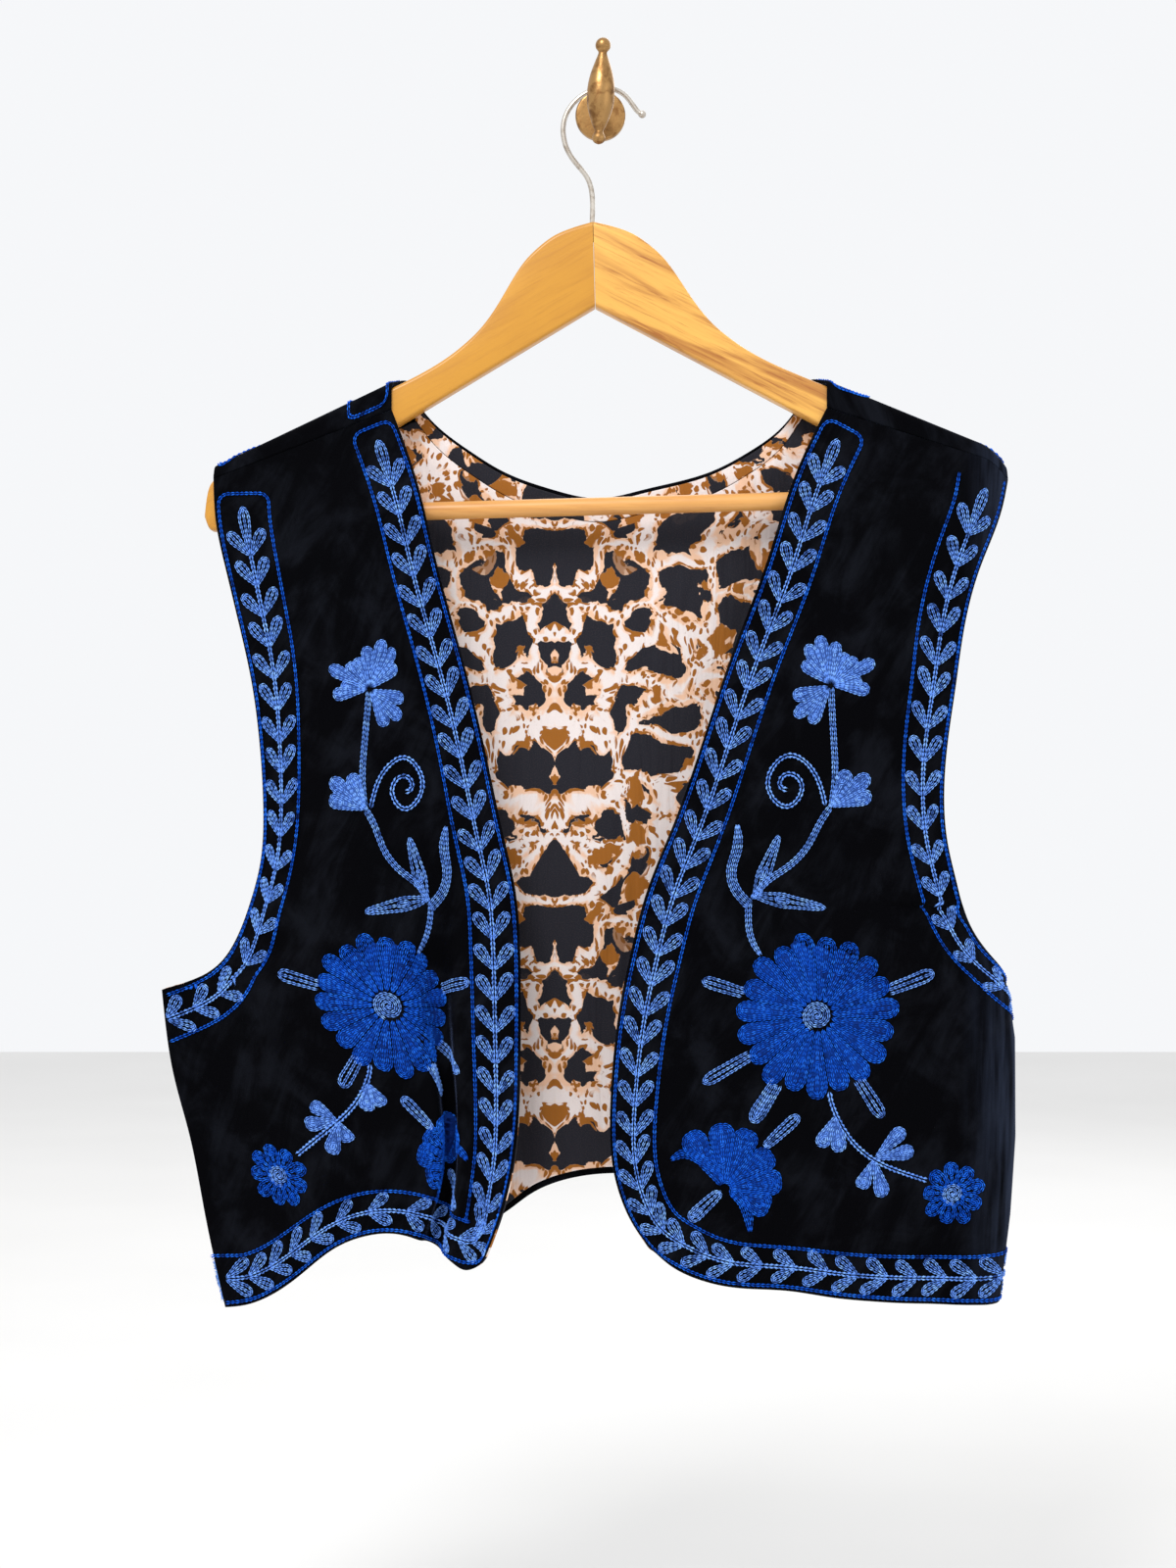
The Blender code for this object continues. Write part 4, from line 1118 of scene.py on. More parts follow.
@dataclass
class Needle:
    """Chain stitches on one panel, gathered by dye before they are made.

    A stitch is a link of two grains of yarn that lie side by side and open towards its end.
    """

    ground: Ground
    warp: Measure
    seed: int
    row: float = 2.2
    pitch: float = 2.8
    shortest: float = 1.2
    lift: float = 0.12
    most_rows: int = 8
    links: dict[Dye, list[Array]] = field(default_factory=lambda: {dye: [] for dye in Dye})
    # Strips under leaves and petals, made in the dye's dark tone: painted shade in the gaps between rows.
    under: dict[Dye, list[Array]] = field(default_factory=lambda: {dye: [] for dye in Dye})

    def chain(self, dye: Dye, path: Array, width: float = 2.0) -> None:
        """Lays stitches end to end along a path in the panel's flat plane.

        Args:
            dye: Their dye.
            path: Close points, rows of flat x, z.
            width: Width of a stitch.
        """
        steps = np.linalg.norm(np.diff(path, axis=0), axis=1)
        along = np.concatenate([[0.0], np.cumsum(steps)])
        if along[-1] < self.shortest:
            return
        count = max(1, int(round(along[-1] / self.pitch)))
        length = along[-1] / count
        edges = np.linspace(0, along[-1], count + 1)
        knots = np.column_stack([np.interp(edges, along, path[:, k]) for k in (0, 1)])
        ahead, middle = unit(knots[1:] - knots[:-1]), (knots[1:] + knots[:-1]) / 2
        self.links[dye].append(np.c_[middle, ahead, np.full(count, length), np.full(count, width)])

    def strip(self, dye: Dye, points: Table, rows: int, width: float = 2.0) -> None:
        """Rows of chain side by side along a smooth line, which close up in its last 10 mm."""
        line = Line(self.warp(np.asarray(points, float)))
        along, fades = np.linspace(0, line.length, max(8, int(line.length))), 10
        fade = np.sqrt(np.clip((line.length - along) / fades, 0.02, 1))
        for k in range(rows):
            off = (k - (rows - 1) / 2) * self.row * 0.98
            self.chain(dye, line.beside(along, off * fade), width)

    def leaf(self, dye: Dye, base: Place, tip: Place, width: float, form: Leaf, warped: bool = False) -> None:
        """A leaf or petal filled by rows that follow its outline, one inside the other.

        Row k lies k + 1/2 rows in, and a single row runs down the middle where less than two
        more have room.

        Args:
            dye: Its dye.
            base: Where it starts, in the design's plane.
            tip: Where it ends.
            width: Its full width.
            form: Its outline.
            warped: Whether base and tip are in the panel's own plane already.
        """
        ends = np.array([base, tip], float)
        start, end = ends if warped else self.warp(ends)
        length = float(np.linalg.norm(end - start))
        axis = (end - start) / length
        left = np.array([-axis[1], axis[0]])
        share = (1 - np.cos(np.linspace(0, math.pi, 60))) / 2
        half, inner = form.half_width(share) * width / 2, share * length
        # Wedges and petals get a dark strip beneath: painted shade between their rows.
        if form in (Leaf.WEDGE, Leaf.PETAL):
            inset, some = 0.7, slice(None, None, 6)
            cover = np.clip(half - inset, 0, None) * ((inner > inset) & (inner < length - inset))
            sides = [start + inner[some, None] * axis + s * cover[some, None] * left for s in (-1, 1)]
            self.under[dye].append(np.stack(sides, axis=1))
        for level in range(self.most_rows):
            rest = half - level * self.row
            inset = (level + 0.5) * self.row
            lone = np.flatnonzero((rest > 0.1 * self.row) & (rest < 0.95 * self.row) & (level > 0))
            for run in np.split(lone, np.flatnonzero(np.diff(lone) > 1) + 1):
                if len(run) > 2:
                    ends = inner[run[0]] - 0.3 * self.row, min(inner[run[-1]], length - 0.75 * self.row)
                    self.chain(dye, start + np.linspace(*ends, 12)[:, None] * axis)
            fits = (inner > inset * 0.5) & (inner < length - inset * 0.8)
            fits &= rest >= (0.95 if level else 0.5) * self.row
            if fits.sum() < 3:
                if level:
                    break
                continue
            out = np.c_[inner[fits], half[fits] - inset]
            back = out[::-1] * np.array([1, -1])
            loop = np.concatenate([out, back, out[:1]])
            self.chain(dye, start + loop[:, :1] * axis + loop[:, 1:] * left)

    def disc(self, dye: Dye, middle: Place, radius: float) -> None:
        """A disc filled by one chain in a spiral, whose distance grows by a row each turn."""
        centre = self.warp(np.array([middle], float))[0]
        turn = np.linspace(0.6, 2 * math.pi * (radius - self.row / 2) / self.row, 160)
        far = turn * self.row / (2 * math.pi)
        self.chain(dye, centre + np.c_[far * np.cos(turn), far * np.sin(turn)])

    def flower(
        self,
        dye: Dye,
        middle: Place,
        radius: float,
        petals: int,
        inner: float,
        gap: float,
        turn: float = 0.0,
        form: Leaf = Leaf.WEDGE,
    ) -> None:
        """Petals all round a middle. Stitches that would lie under them are taken out.

        Args:
            dye: Their dye.
            middle: The middle, in the design's plane.
            radius: Reach of a petal.
            petals: How many.
            inner: Where a petal starts.
            gap: Bare velvet between two petals at their widest.
            turn: Angle of the first petal, in radians.
            form: Outline of a petal.
        """
        centre = self.warp(np.array([middle], float))[0]
        for rows in self.links.values():
            rows[:] = [r[np.linalg.norm(r[:, :2] - centre, axis=1) > radius * 0.95] for r in rows]
        for k in range(petals):
            angle = turn + 2 * math.pi * k / petals
            way = np.array([math.cos(angle), math.sin(angle)])
            reach = radius * (1 + 0.035 * math.sin(2.7 * k + 1))
            width = 2 * math.pi * radius * 0.80 / petals - gap
            self.leaf(dye, centre + way * inner, centre + way * reach, width, form, warped=True)

    def vine(self, line: Line, offset: Measure, room: Measure, first: float, last: float) -> None:
        """A stem with pairs of leaves along a band, which point to the band's start.

        Args:
            line: The border that the band follows.
            offset: The stem's distance from it at a length along it, + to the left.
            room: The band's width at a length.
            first: Where the stem starts.
            last: Where it ends.
        """
        along = np.linspace(first, last, max(8, int((last - first) / 2)))
        stem = line.beside(along, offset(along))
        self.chain(Dye.LIGHT, stem, 3.1)
        apart, full_room = 18.1, 29.0
        groups = max(2, int(round((last - first) / apart)) + 1)
        for k, place in enumerate(np.linspace(first, last, groups)):
            size = float(np.clip(room(np.array(place)) / full_room, 0.55, 1.0))
            here, ahead = line.beside(np.array([place, place - 0.5]), offset(np.array([place, place])))
            way = unit(ahead - here)
            side = np.array([-way[1], way[0]])
            for tilt in (-1, 1) if k else (-1, 0, 1):
                angle = math.radians(35 * tilt + 3 * math.sin(3.1 * k + tilt))
                heading = way * math.cos(angle) + side * math.sin(angle)
                length = (18.4 + 0.8 * math.sin(5 * k + tilt)) * size if tilt else 29.0
                ends = here - way, here + heading * length
                self.leaf(Dye.LIGHT, *ends, 8.0 * size**0.5, Leaf.CLUB, warped=True)

    def band(
        self,
        line: Line,
        hand: int,
        inner: Table,
        first: float,
        last: float,
        caps: tuple[bool, bool],
        bare: tuple[float, float] = (38.0, 2.0),
        slant: tuple[float, float] = (0.0, 0.0),
    ) -> None:
        """A border band: two lines of royal chain, joined by round caps, with a vine between.

        Args:
            line: The border that it follows.
            hand: 1 if the cloth lies to the left of the line, -1 if to the right.
            inner: Rows of share of the length and the inner line's distance.
            first: Length along the border where the band starts.
            last: Where it ends.
            caps: Whether a cap closes the start and the end.
            bare: Bare velvet between the vine and the band's two ends.
            slant: How much the start and the end lean inward, per length across the band.
        """
        table = np.asarray(inner, float)
        width = lambda along: np.interp(np.asarray(along) / line.length, table[:, 0], table[:, 1])
        outer, corner = 2.8, 6.0
        along = np.linspace(first, last, max(20, int((last - first) / 1.5)))
        outside, inside = np.c_[along, np.full(len(along), outer)], np.c_[along, width(along)]
        turn = np.linspace(0, math.pi / 2, 8)
        bend, rest = corner * (1 - np.sin(turn)), corner * (1 - np.cos(turn))
        if caps[1]:
            kept = along < last - corner
            rounding = np.c_[last - bend, outer + rest], np.c_[last - rest, width(last) - bend]
            route = np.concatenate([outside[kept], *rounding, inside[kept][::-1]])
        else:
            kept = (along > first + corner) | (not caps[0])
            self.chain(Dye.ROYAL, self.on_line(line, hand, outside[kept]), 2.2)
            route = inside[kept][::-1]
        if caps[0]:
            rounding = np.c_[first + bend, width(first) - rest], np.c_[first + rest, outer + bend]
            route = np.concatenate([route[route[:, 0] > first + corner], *rounding])
        reach = 35
        near, far = (np.clip(1 - gap / reach, 0, 1) for gap in (route[:, 0] - first, last - route[:, 0]))
        route = np.c_[route[:, 0] + (slant[0] * near - slant[1] * far) * route[:, 1], route[:, 1]]
        self.chain(Dye.ROYAL, self.on_line(line, hand, route), 2.2)
        middle = lambda at: hand * (outer + width(at)) / 2
        self.vine(line, middle, width, first + bare[0], last - bare[1])

    @staticmethod
    def on_line(line: Line, hand: int, route: Array) -> Array:
        """Places of a route given by length along a line and distance from it."""
        return line.beside(route[:, 0], hand * route[:, 1])

    def shaded_underlay(self, dye: Dye) -> tuple[Array, Array]:
        """A dark strip under each leaf and petal, closed and flat: painted shade that shows in the gaps between the
        rows.

        Args:
            dye: Which dye.

        Returns:
            The places and the faces.
        """
        if not self.under[dye]:
            return np.zeros((0, 3)), np.zeros((0, 4), int)
        pairs = np.stack(self.under[dye])
        count, steps = pairs.shape[:2]
        middle = pairs.reshape(count, -1, 2).mean(axis=1)
        offsets = pairs.reshape(count, -1, 2) - middle[:, None]
        both = np.concatenate([offsets, offsets], axis=1)
        heights = np.repeat([0.34, 0.06], 2 * steps)
        places = self.ground.place(middle, both, np.broadcast_to(heights, both.shape[:2]))
        index = np.arange(2 * steps).reshape(steps, 2)
        ahead, here = index[1:], index[:-1]
        lower = 2 * steps
        top = np.c_[here[:, 0], here[:, 1], ahead[:, 1], ahead[:, 0]]
        left = np.c_[here[:, 0], ahead[:, 0], ahead[:, 0] + lower, here[:, 0] + lower]
        right = np.c_[here[:, 1], here[:, 1] + lower, ahead[:, 1] + lower, ahead[:, 1]]
        ends = np.array([[0, lower, lower + 1, 1], [lower - 2, lower - 1, 2 * lower - 1, 2 * lower - 2]])
        faces = np.concatenate([top, top[:, ::-1] + lower, left, right, ends])
        return places.reshape(-1, 3), (faces[None] + 2 * lower * np.arange(count)[:, None, None]).reshape(-1, 4)

    def make(self, name: str, dye: Dye, finish: Finish) -> Piece:
        """Makes every stitch of a dye as one piece.

        A grain is a ring of five places round its middle with a point at each end. Its middle
        line runs from near the link's axis to the side, w the width and L the length: from
        (-0.70 L, 0.10 w) over (0.02 L, 0.28 w) to (0.70 L, 0.27 w).

        Args:
            name: The piece's name.
            dye: Which dye.
            finish: Its finish.

        Returns:
            The object.
        """
        rows = np.concatenate(self.links[dye])
        chance = np.random.default_rng(self.seed)
        under, shaded_underlay_faces = self.shaded_underlay(dye)
        count = len(rows)
        middle, ahead, length, width = rows[:, :2], rows[:, 2:4], rows[:, 4:5], rows[:, 5:6]
        swing = chance.normal(0, 0.07, count)
        cosine, sine = np.cos(swing)[:, None], np.sin(swing)[:, None]
        ahead = np.c_[ahead[:, :1] * cosine - ahead[:, 1:] * sine, ahead[:, :1] * sine + ahead[:, 1:] * cosine]
        left = np.c_[-ahead[:, 1], ahead[:, 0]]
        width = width * (1 + chance.normal(0, 0.05, (count, 1)))
        ring = 2 * math.pi * np.arange(5) / 5
        corners = 2 * (len(ring) + 2)
        parts = []
        for side in (-1, 1):
            along = np.concatenate([-0.70 * length, 0.02 * length + 0 * ring, 0.70 * length], axis=1)
            across = np.concatenate([0.10 * width, 0.28 * width + 0.185 * width * np.cos(ring), 0.27 * width], axis=1)
            height = np.concatenate([0.02 * width, 0.22 * width + 0.25 * width * np.sin(ring), 0.14 * width], axis=1)
            parts.append(np.stack([along, side * across, height], axis=-1))
        shape = np.concatenate(parts, axis=1)
        offsets = shape[..., :1] * ahead[:, None] + shape[..., 1:2] * left[:, None]
        places = self.ground.place(middle, offsets, shape[..., 2] + self.lift)
        here, ahead = 1 + np.arange(5), 1 + (np.arange(5) + 1) % 5
        grain = np.concatenate([np.c_[0 * here, here, ahead], np.c_[0 * here + 6, ahead, here]])
        faces = np.concatenate([grain[:, ::-1], grain + 7])
        tall, wide = places[:, 9] - places[:, 11], places[:, 8] - places[:, 10]
        if (np.cross(places[:, 13] - places[:, 7], wide) * tall).sum() > 0:
            faces = faces[:, ::-1]
        stitches = (faces[None] + corners * np.arange(count)[:, None, None]).reshape(-1, 3)
        everywhere = np.concatenate([places.reshape(-1, 3), under])
        made = put_mesh(name, everywhere, [stitches, shaded_underlay_faces + corners * count])
        shade = np.repeat(np.clip(chance.normal(0.55, 0.2, count), 0, 1), corners)
        # The underlay's shade near 0 gives it the dark tone: painted shade in the gaps between rows.
        shade = np.concatenate([shade, np.full(len(under), 0.02)])
        made.data.attributes.new("Shade", "FLOAT", "POINT").data.foreach_set("value", shade.astype(np.float32))
        made.data.materials.append(finish)
        return made


@dataclass
class FrontDesign:
    """The embroidery of a front, drawn in the left front's cut plane and warped to the panel."""

    needle: Needle
    hand: int
    border: Line
    armhole: Line
    bloom: float = 46.5
    inset: float = 0.0
    drop: float = 0.0

    def bands(self, armhole_cap: bool, starts: tuple[float, float], ends: tuple[float, float], lean: float) -> None:
        """The band down the front edge and round to the side, and the band of the armhole.

        Args:
            armhole_cap: Whether the armhole's band starts in a cap.
            starts: Distances of both bands from the shoulder seam.
            ends: Widths of the armhole's band near its end and at it.
            lean: How much the armhole's band leans at the side, per length across it.
        """
        edge = ((0, 29), (0.45, 29), (0.68, 27.5), (0.8, 25), (0.95, 28), (1, 31))
        span = starts[0], self.border.length - 0.5
        self.needle.band(self.border, self.hand, edge, *span, (True, False), bare=(38, 0.5), slant=(0, -0.25))
        inner = ((0, 34), (0.3, 32), (0.55, 28), (0.75, 24.5), (0.9, ends[0]), (1, ends[1]))
        span = starts[1], self.armhole.length - 2
        caps, bare = (armhole_cap, False), (38, 2 + 20 * lean)
        self.needle.band(self.armhole, -self.hand, inner, *span, caps, bare=bare, slant=(0, lean))

    def sprays(self) -> None:
        """The flowers, stems and leaves of the middle."""
        n, light, royal = self.needle, Dye.LIGHT, Dye.ROYAL
        heart = np.array([135.4, -344.5])
        for angle, reach in (
            (142, 22), (123, 28), (105, 30), (84, 25.5), (64, 21), (46, 22), (28, 30), (8, 19), (-6, 24),
            (-118, 25), (-140, 28), (-164, 24),
        ):
            way = np.array([math.cos(math.radians(angle)), math.sin(math.radians(angle))])
            n.leaf(light, heart + way * 1.0, heart + way * reach, 9.0, Leaf.PETAL)
        n.strip(light, ((135.6, -346), (137.9, -378), (137.9, -405), (135.6, -414.5)), 2)
        spiral = (
            (132.7, -412.8), (128.2, -398.1), (120.8, -388.4), (111.2, -384.4), (102.1, -390.1), (98.1, -399.8),
            (101, -408.8), (109.5, -414), (116.9, -408.8), (118.6, -400.9), (112.9, -395.2), (106.6, -396.9),
            (105.5, -402.6), (109.5, -404.3),
        )
        n.strip(light, spiral, 1, 3.4)
        for tip in ((146.9, -393), (160, -395.8), (161.1, -407.1)):
            n.leaf(light, (136.0, -414.0), tip, 10.4, Leaf.PETAL)
        stem = (135.6, -414.5), (129.9, -422.5), (122.5, -435.5), (109.5, -448.6), (98.1, -456), (87.9, -466.2)
        n.strip(light, stem, 2)
        n.strip(light, ((86.5, -470), (78.5, -461), (76.5, -449), (79.8, -438), (80, -424.5)), 3)
        n.leaf(light, (89.5, -467.0), (105.4, -429), 9.6, Leaf.BLADE)
        n.leaf(light, (88.5, -464.5), (133.2, -472), 9.6, Leaf.BLADE)
        n.strip(light, ((86.2, -469), (85.6, -480.4), (87.9, -491.7), (91.9, -498.5)), 2)
        centre = np.array([124.8 - self.inset, -533.2])
        for x, z, wide in (
            (58, -512.9, 8), (194, -508.9, 8.6), (59.7, -572.2, 8.2), (88.9, -594.5, 10), (164.4, -591.9, 8.4),
        ):
            start, end = n.warp(np.array([centre, (x - self.inset, z)], float))
            start = start + unit(end - start) * (self.bloom - 10.5)
            n.leaf(light, start, end, wide, Leaf.FINGER, warped=True)
        stem = (
            (131.6, -566), (133.3, -580.3), (138.4, -592.7), (146.9, -605.2), (159.4, -615.5), (177, -623.4),
            (192, -628.5),
        )
        n.strip(light, stem, 1, 3.4)
        for base, tips in (
            ((136.6, -590.2), ((128.3, -608.1), (139.8, -611.3))),
            ((160.1, -615.3), ((176.9, -598), (183.4, -610.9), (152.7, -632.4), (166.5, -637.5))),
        ):
            for tip in tips:
                n.leaf(light, base, tip, 10.0, Leaf.PETAL)
        n.flower(royal, centre, self.bloom, 19, 8.5, -0.7, 0.1)
        n.disc(light, centre, 9.2)
        bud = np.array([208.2, -636.5])
        n.flower(royal, bud, 18.5, 9, 5.5, 0.7, 0.3, Leaf.ROUND)
        n.disc(light, bud, 7.2)
        down = np.array([0.0, self.drop])
        root = np.array([74.9, -632.5])
        for tip in ((52.7, -600.1), (71.4, -594.7), (87.9, -598.1), (101.4, -611.6), (107.6, -627.4), (101.4, -643)):
            way = unit(np.array(tip) - root)
            n.leaf(royal, root + way * 3 - down, tip - down, 15.8, Leaf.WEDGE)
        n.strip(royal, np.array(((72, -622), (60, -615.5), (51, -612.2), (43.6, -615.5))) - down, 3)
        n.strip(royal, np.array(((80, -634), (86, -640.5), (89.2, -648), (90.7, -656.5))) - down, 3)
        n.leaf(light, (97, -608.1) - down, (115.8, -589.9) - down, 8.0, Leaf.FINGER)
        n.leaf(light, (72.4, -634.3) - down, (55.2, -651.0) - down, 9, Leaf.FINGER)


@dataclass
class Hanger:
    """The wooden hanger: two arms that meet in a mitre, a round trouser bar and a wire hook."""

    form: HangerForm
    half_thick: float = 7.0
    edge: float = 2.6
    mitre_drop: float = 50.0
    nose_out: float = 229.5
    nose: Table = ((206.0, 134.5), (218.0, 140.4), (224.0, 147.0), (227.6, 155.0), (229.5, 166.0))
    nose_under: Table = ((219.0, 176.0), (224.5, 175.8), (227.6, 173.4), (229.5, 168.0))
    bar_radius: float = 5.2
    bar_drop: float = 167.4
    bar_out: float = 217.0
    wire_radius: float = 1.5
    bead_radius: float = 2.3
    wire_route: Table = (
        (-4.9, -84.6), (-4.9, -70.0), (-5.4, -54.0), (-8.1, -46.1), (-14.3, -38.2), (-19.3, -30.6), (-21.8, -22.0),
        (-21.5, -13.6), (-18.6, -6.4), (-14.0, -0.9), (-8.1, 3.2), (0.0, 5.85), (8.6, 5.0), (14.0, 1.9),
        (18.4, -3.3), (22.6, -8.4), (26.4, -10.1),
    )

    def arm(self, side: Side, finish: Finish) -> Piece:
        """One arm: a rounded rectangle carried outwards, as high as the arm is there.

        Args:
            side: Which arm.
            finish: Its finish.

        Returns:
            The object.
        """
        out = np.concatenate([np.linspace(0.15, 205, 150), self.nose_out - (24.5 * np.linspace(1, 0, 34) ** 2)])
        out = np.unique(np.round(out, 4))
        nose = np.asarray(self.nose)
        nose_top = Spline(nose[:, 0], nose[:, 1])
        top = np.where(out < 206, self.form.drop(out), nose_top(out))
        under = np.asarray(self.nose_under)
        straight = self.mitre_drop + (176 - self.mitre_drop) * out / 219
        bottom = np.where(out < 219, straight, Spline(under[:, 0], under[:, 1])(np.maximum(out, 219)))
        middle, half = (top + bottom) / 2, np.maximum((bottom - top) / 2, 0.05)
        close = np.clip((self.nose_out - out) / 3.0, 0, 1)
        thick = self.half_thick - self.edge * (1 - np.sqrt(np.maximum(1 - (1 - close) ** 2, 0)))
        corner = np.minimum(self.edge, half)
        turn = np.linspace(0, math.pi / 2, 6)
        quarter = np.arange(4)[:, None] * math.pi / 2 + turn[None]
        sign_y, sign_z = np.array([(1, -1, -1, 1), (1, 1, -1, -1)])[..., None]
        bend, room_y, room_z = (a[:, None, None] for a in (corner, thick - corner, half - corner))
        y = (sign_y * room_y + bend * np.cos(quarter)).reshape(len(out), -1)
        z = (sign_z * room_z + bend * np.sin(quarter)).reshape(len(out), -1)
        rings = self.form.place(side, np.broadcast_to(out[:, None], y.shape), middle[:, None] - z, y)
        return put_tube(f"hanger_arm_{side.name.lower()}_wood", rings, finish)

    def bar(self, finish: Finish) -> Piece:
        """The trouser bar: a circle carried from socket to socket, a little thicker in the middle."""
        ends = [self.form.place(s, np.array(self.bar_out), np.array(self.bar_drop)) for s in (Side.RIGHT, Side.LEFT)]
        share = np.linspace(0, 1, 60)[:, None, None]
        turn = circle(32)[None, :, None]
        axis = unit(ends[1] - ends[0])
        across = np.cross(axis, [0.0, 1.0, 0.0])
        radius = self.bar_radius * (0.985 + 0.015 * np.sin(math.pi * share))
        rings = ends[0] + (ends[1] - ends[0]) * share
        rings = rings + radius * (np.cos(turn) * np.array([0.0, 1.0, 0.0]) + np.sin(turn) * across)
        return put_tube("trouser_bar_wood", rings, finish)

    def wire(self, finish: Finish) -> Piece:
        """The hook: a circle carried along the bent route, swelling to a bead at the free end."""
        route = Line(self.wire_route)
        end = 6.5
        close = route.length - end * (1 - np.linspace(0, 1, 40)[1:] ** 0.8)
        along = np.concatenate([np.linspace(0, route.length - end, 150), close])
        middle = route.at(along)
        ahead = unit(np.gradient(middle, along, axis=0))
        left = np.c_[-ahead[:, 1], ahead[:, 0]]
        from_bead = along - (route.length - self.bead_radius)
        bead = np.sqrt(np.maximum(self.bead_radius**2 - from_bead**2, 0))
        radius = np.where(from_bead > 0, bead, np.maximum(bead, self.wire_radius))
        start = self.wire_radius * np.sqrt(np.maximum(1 - (1 - along / self.wire_radius) ** 2, 0.02))
        radius = np.where(along < self.wire_radius, start, radius)[:, None]
        turn = circle(20)
        x = middle[:, :1] + radius * np.cos(turn) * left[:, :1]
        z = middle[:, 1:] + radius * np.cos(turn) * left[:, 1:]
        y = self.form.crown[1] + radius * np.sin(turn)
        return put_tube("hanger_hook_wire", np.stack([x, y, z], axis=-1), finish)


@dataclass
class WallHook:
    """The brass wall hook: a rose against the wall and a stem with a turned upright spindle."""

    stem_radius: float = 4.0
    rose_radius: float = 15.0
    rose_thick: float = 5.0
    spindle_y: float = -66.0
    spindle_z: float = -1.0
    tilt: float = math.radians(2.7)
    spindle: Table = (
        (31.0, 0.0), (30.75, 1.0), (30.1, 2.4), (28.4, 3.9), (26.4, 4.4), (24.3, 3.9), (22.3, 2.5), (20.6, 2.8),
        (17.0, 4.1), (11.0, 6.1), (4.0, 7.6), (-3.0, 8.0), (-10.0, 7.2), (-16.5, 5.2), (-21.5, 3.1), (-23.2, 2.4),
        (-24.8, 3.0), (-27.0, 3.8), (-29.4, 3.0), (-30.5, 1.2), (-30.9, 0.0),
    )

    @staticmethod
    def turned(profile: Array, around: int) -> Array:
        """Rings of a turned form: the profile's radius carried round its height."""
        turn = circle(around)
        height, radius = profile[:, :1], np.maximum(profile[:, 1:], 0.02)
        return np.stack([radius * np.cos(turn), radius * np.sin(turn), height + 0 * turn], axis=-1)

    def build(self, finish: Finish) -> list[Piece]:
        """The rose, and the hook with its stem.

        Args:
            finish: The brass.

        Returns:
            The objects: rose, stem, spindle.
        """
        profile = Line(self.spindle).at(np.linspace(0, Line(self.spindle).length, 120))
        upright = self.turned(profile[::-1], 48)
        x, y, z = np.moveaxis(upright, -1, 0)
        lean_x = x * math.cos(self.tilt) + z * math.sin(self.tilt)
        lean_z = -x * math.sin(self.tilt) + z * math.cos(self.tilt)
        spindle = np.stack([lean_x, y + self.spindle_y, lean_z + self.spindle_z], axis=-1)
        thin, thick = self.stem_radius, self.stem_radius + 0.6
        stem = self.turned(np.array([(0.0, thin), (58.0, thin), (59.5, thick), (61.0, thick)]), 40)
        stem = np.stack([stem[..., 0], self.spindle_y + stem[..., 2], -stem[..., 1]], axis=-1)
        stem[..., 1] = np.minimum(stem[..., 1], -self.rose_thick - 0.2)
        bevel, turn = 1.4, np.linspace(0, math.pi / 2, 7)
        face, rim = self.rose_thick, self.rose_radius
        edge = np.c_[face - bevel + bevel * np.sin(turn), rim - bevel + bevel * np.cos(turn)]
        foot = np.array([(0.02, 0.0), (0.02, rim - 0.3), (0.3, rim)])
        dish = np.array([(face - 0.05, rim - 4), (face - 0.05, 6.0), (face, 5.0), (face, 0.0)])
        rose = self.turned(np.concatenate([foot, edge, dish]), 64)
        rose = np.stack([rose[..., 0], -rose[..., 2], rose[..., 1]], axis=-1)
        named = ("wall_rose_brass", rose), ("wall_hook_stem", stem), ("wall_hook_spindle", spindle)
        return [put_tube(name, rings, finish, 45) for name, rings in named]


def maths(operation: str) -> Callable[..., Value]:
    """A method that adds one Math node, of the value itself and up to two others."""

    def method(value: Value, *others: Value | float) -> Value:
        """Adds the node."""
        return value.finish.add("ShaderNodeMath", {"operation": operation}, dict(enumerate((value, *others))))

    return method


class Value:
    """A number that changes over a surface. Python's operators on it add Math nodes."""

    __add__, __sub__, __mul__ = maths("ADD"), maths("SUBTRACT"), maths("MULTIPLY")
    most, wave, size = maths("MAXIMUM"), maths("SINE"), maths("ABSOLUTE")

    def __init__(self, finish: Shader, socket: bpy.types.NodeSocket) -> None:
        """Keeps the material's shader and the socket that gives the number."""
        self.finish, self.socket = finish, socket

    def __rsub__(self, other: float) -> Value:
        """A number less this value."""
        return self.finish.add("ShaderNodeMath", {"operation": "SUBTRACT"}, {0: other, 1: self})

    def between(self, low: float, high: float) -> Value:
        """0 below low and 1 above high, with a soft turn between."""
        settings = {"interpolation_type": "SMOOTHSTEP"}
        return self.finish.add("ShaderNodeMapRange", settings, {0: self, 1: low, 2: high, 3: 0.0, 4: 1.0})


Tone = tuple[float, float, float]


def tone(red: float, green: float, blue: float) -> Tone:
    """A colour as seen on a screen, 0 to 255, turned into light's own measure."""
    shares = (c / 255 for c in (red, green, blue))
    return tuple(c / 12.92 if c <= 0.04045 else ((c + 0.055) / 1.055) ** 2.4 for c in shares)


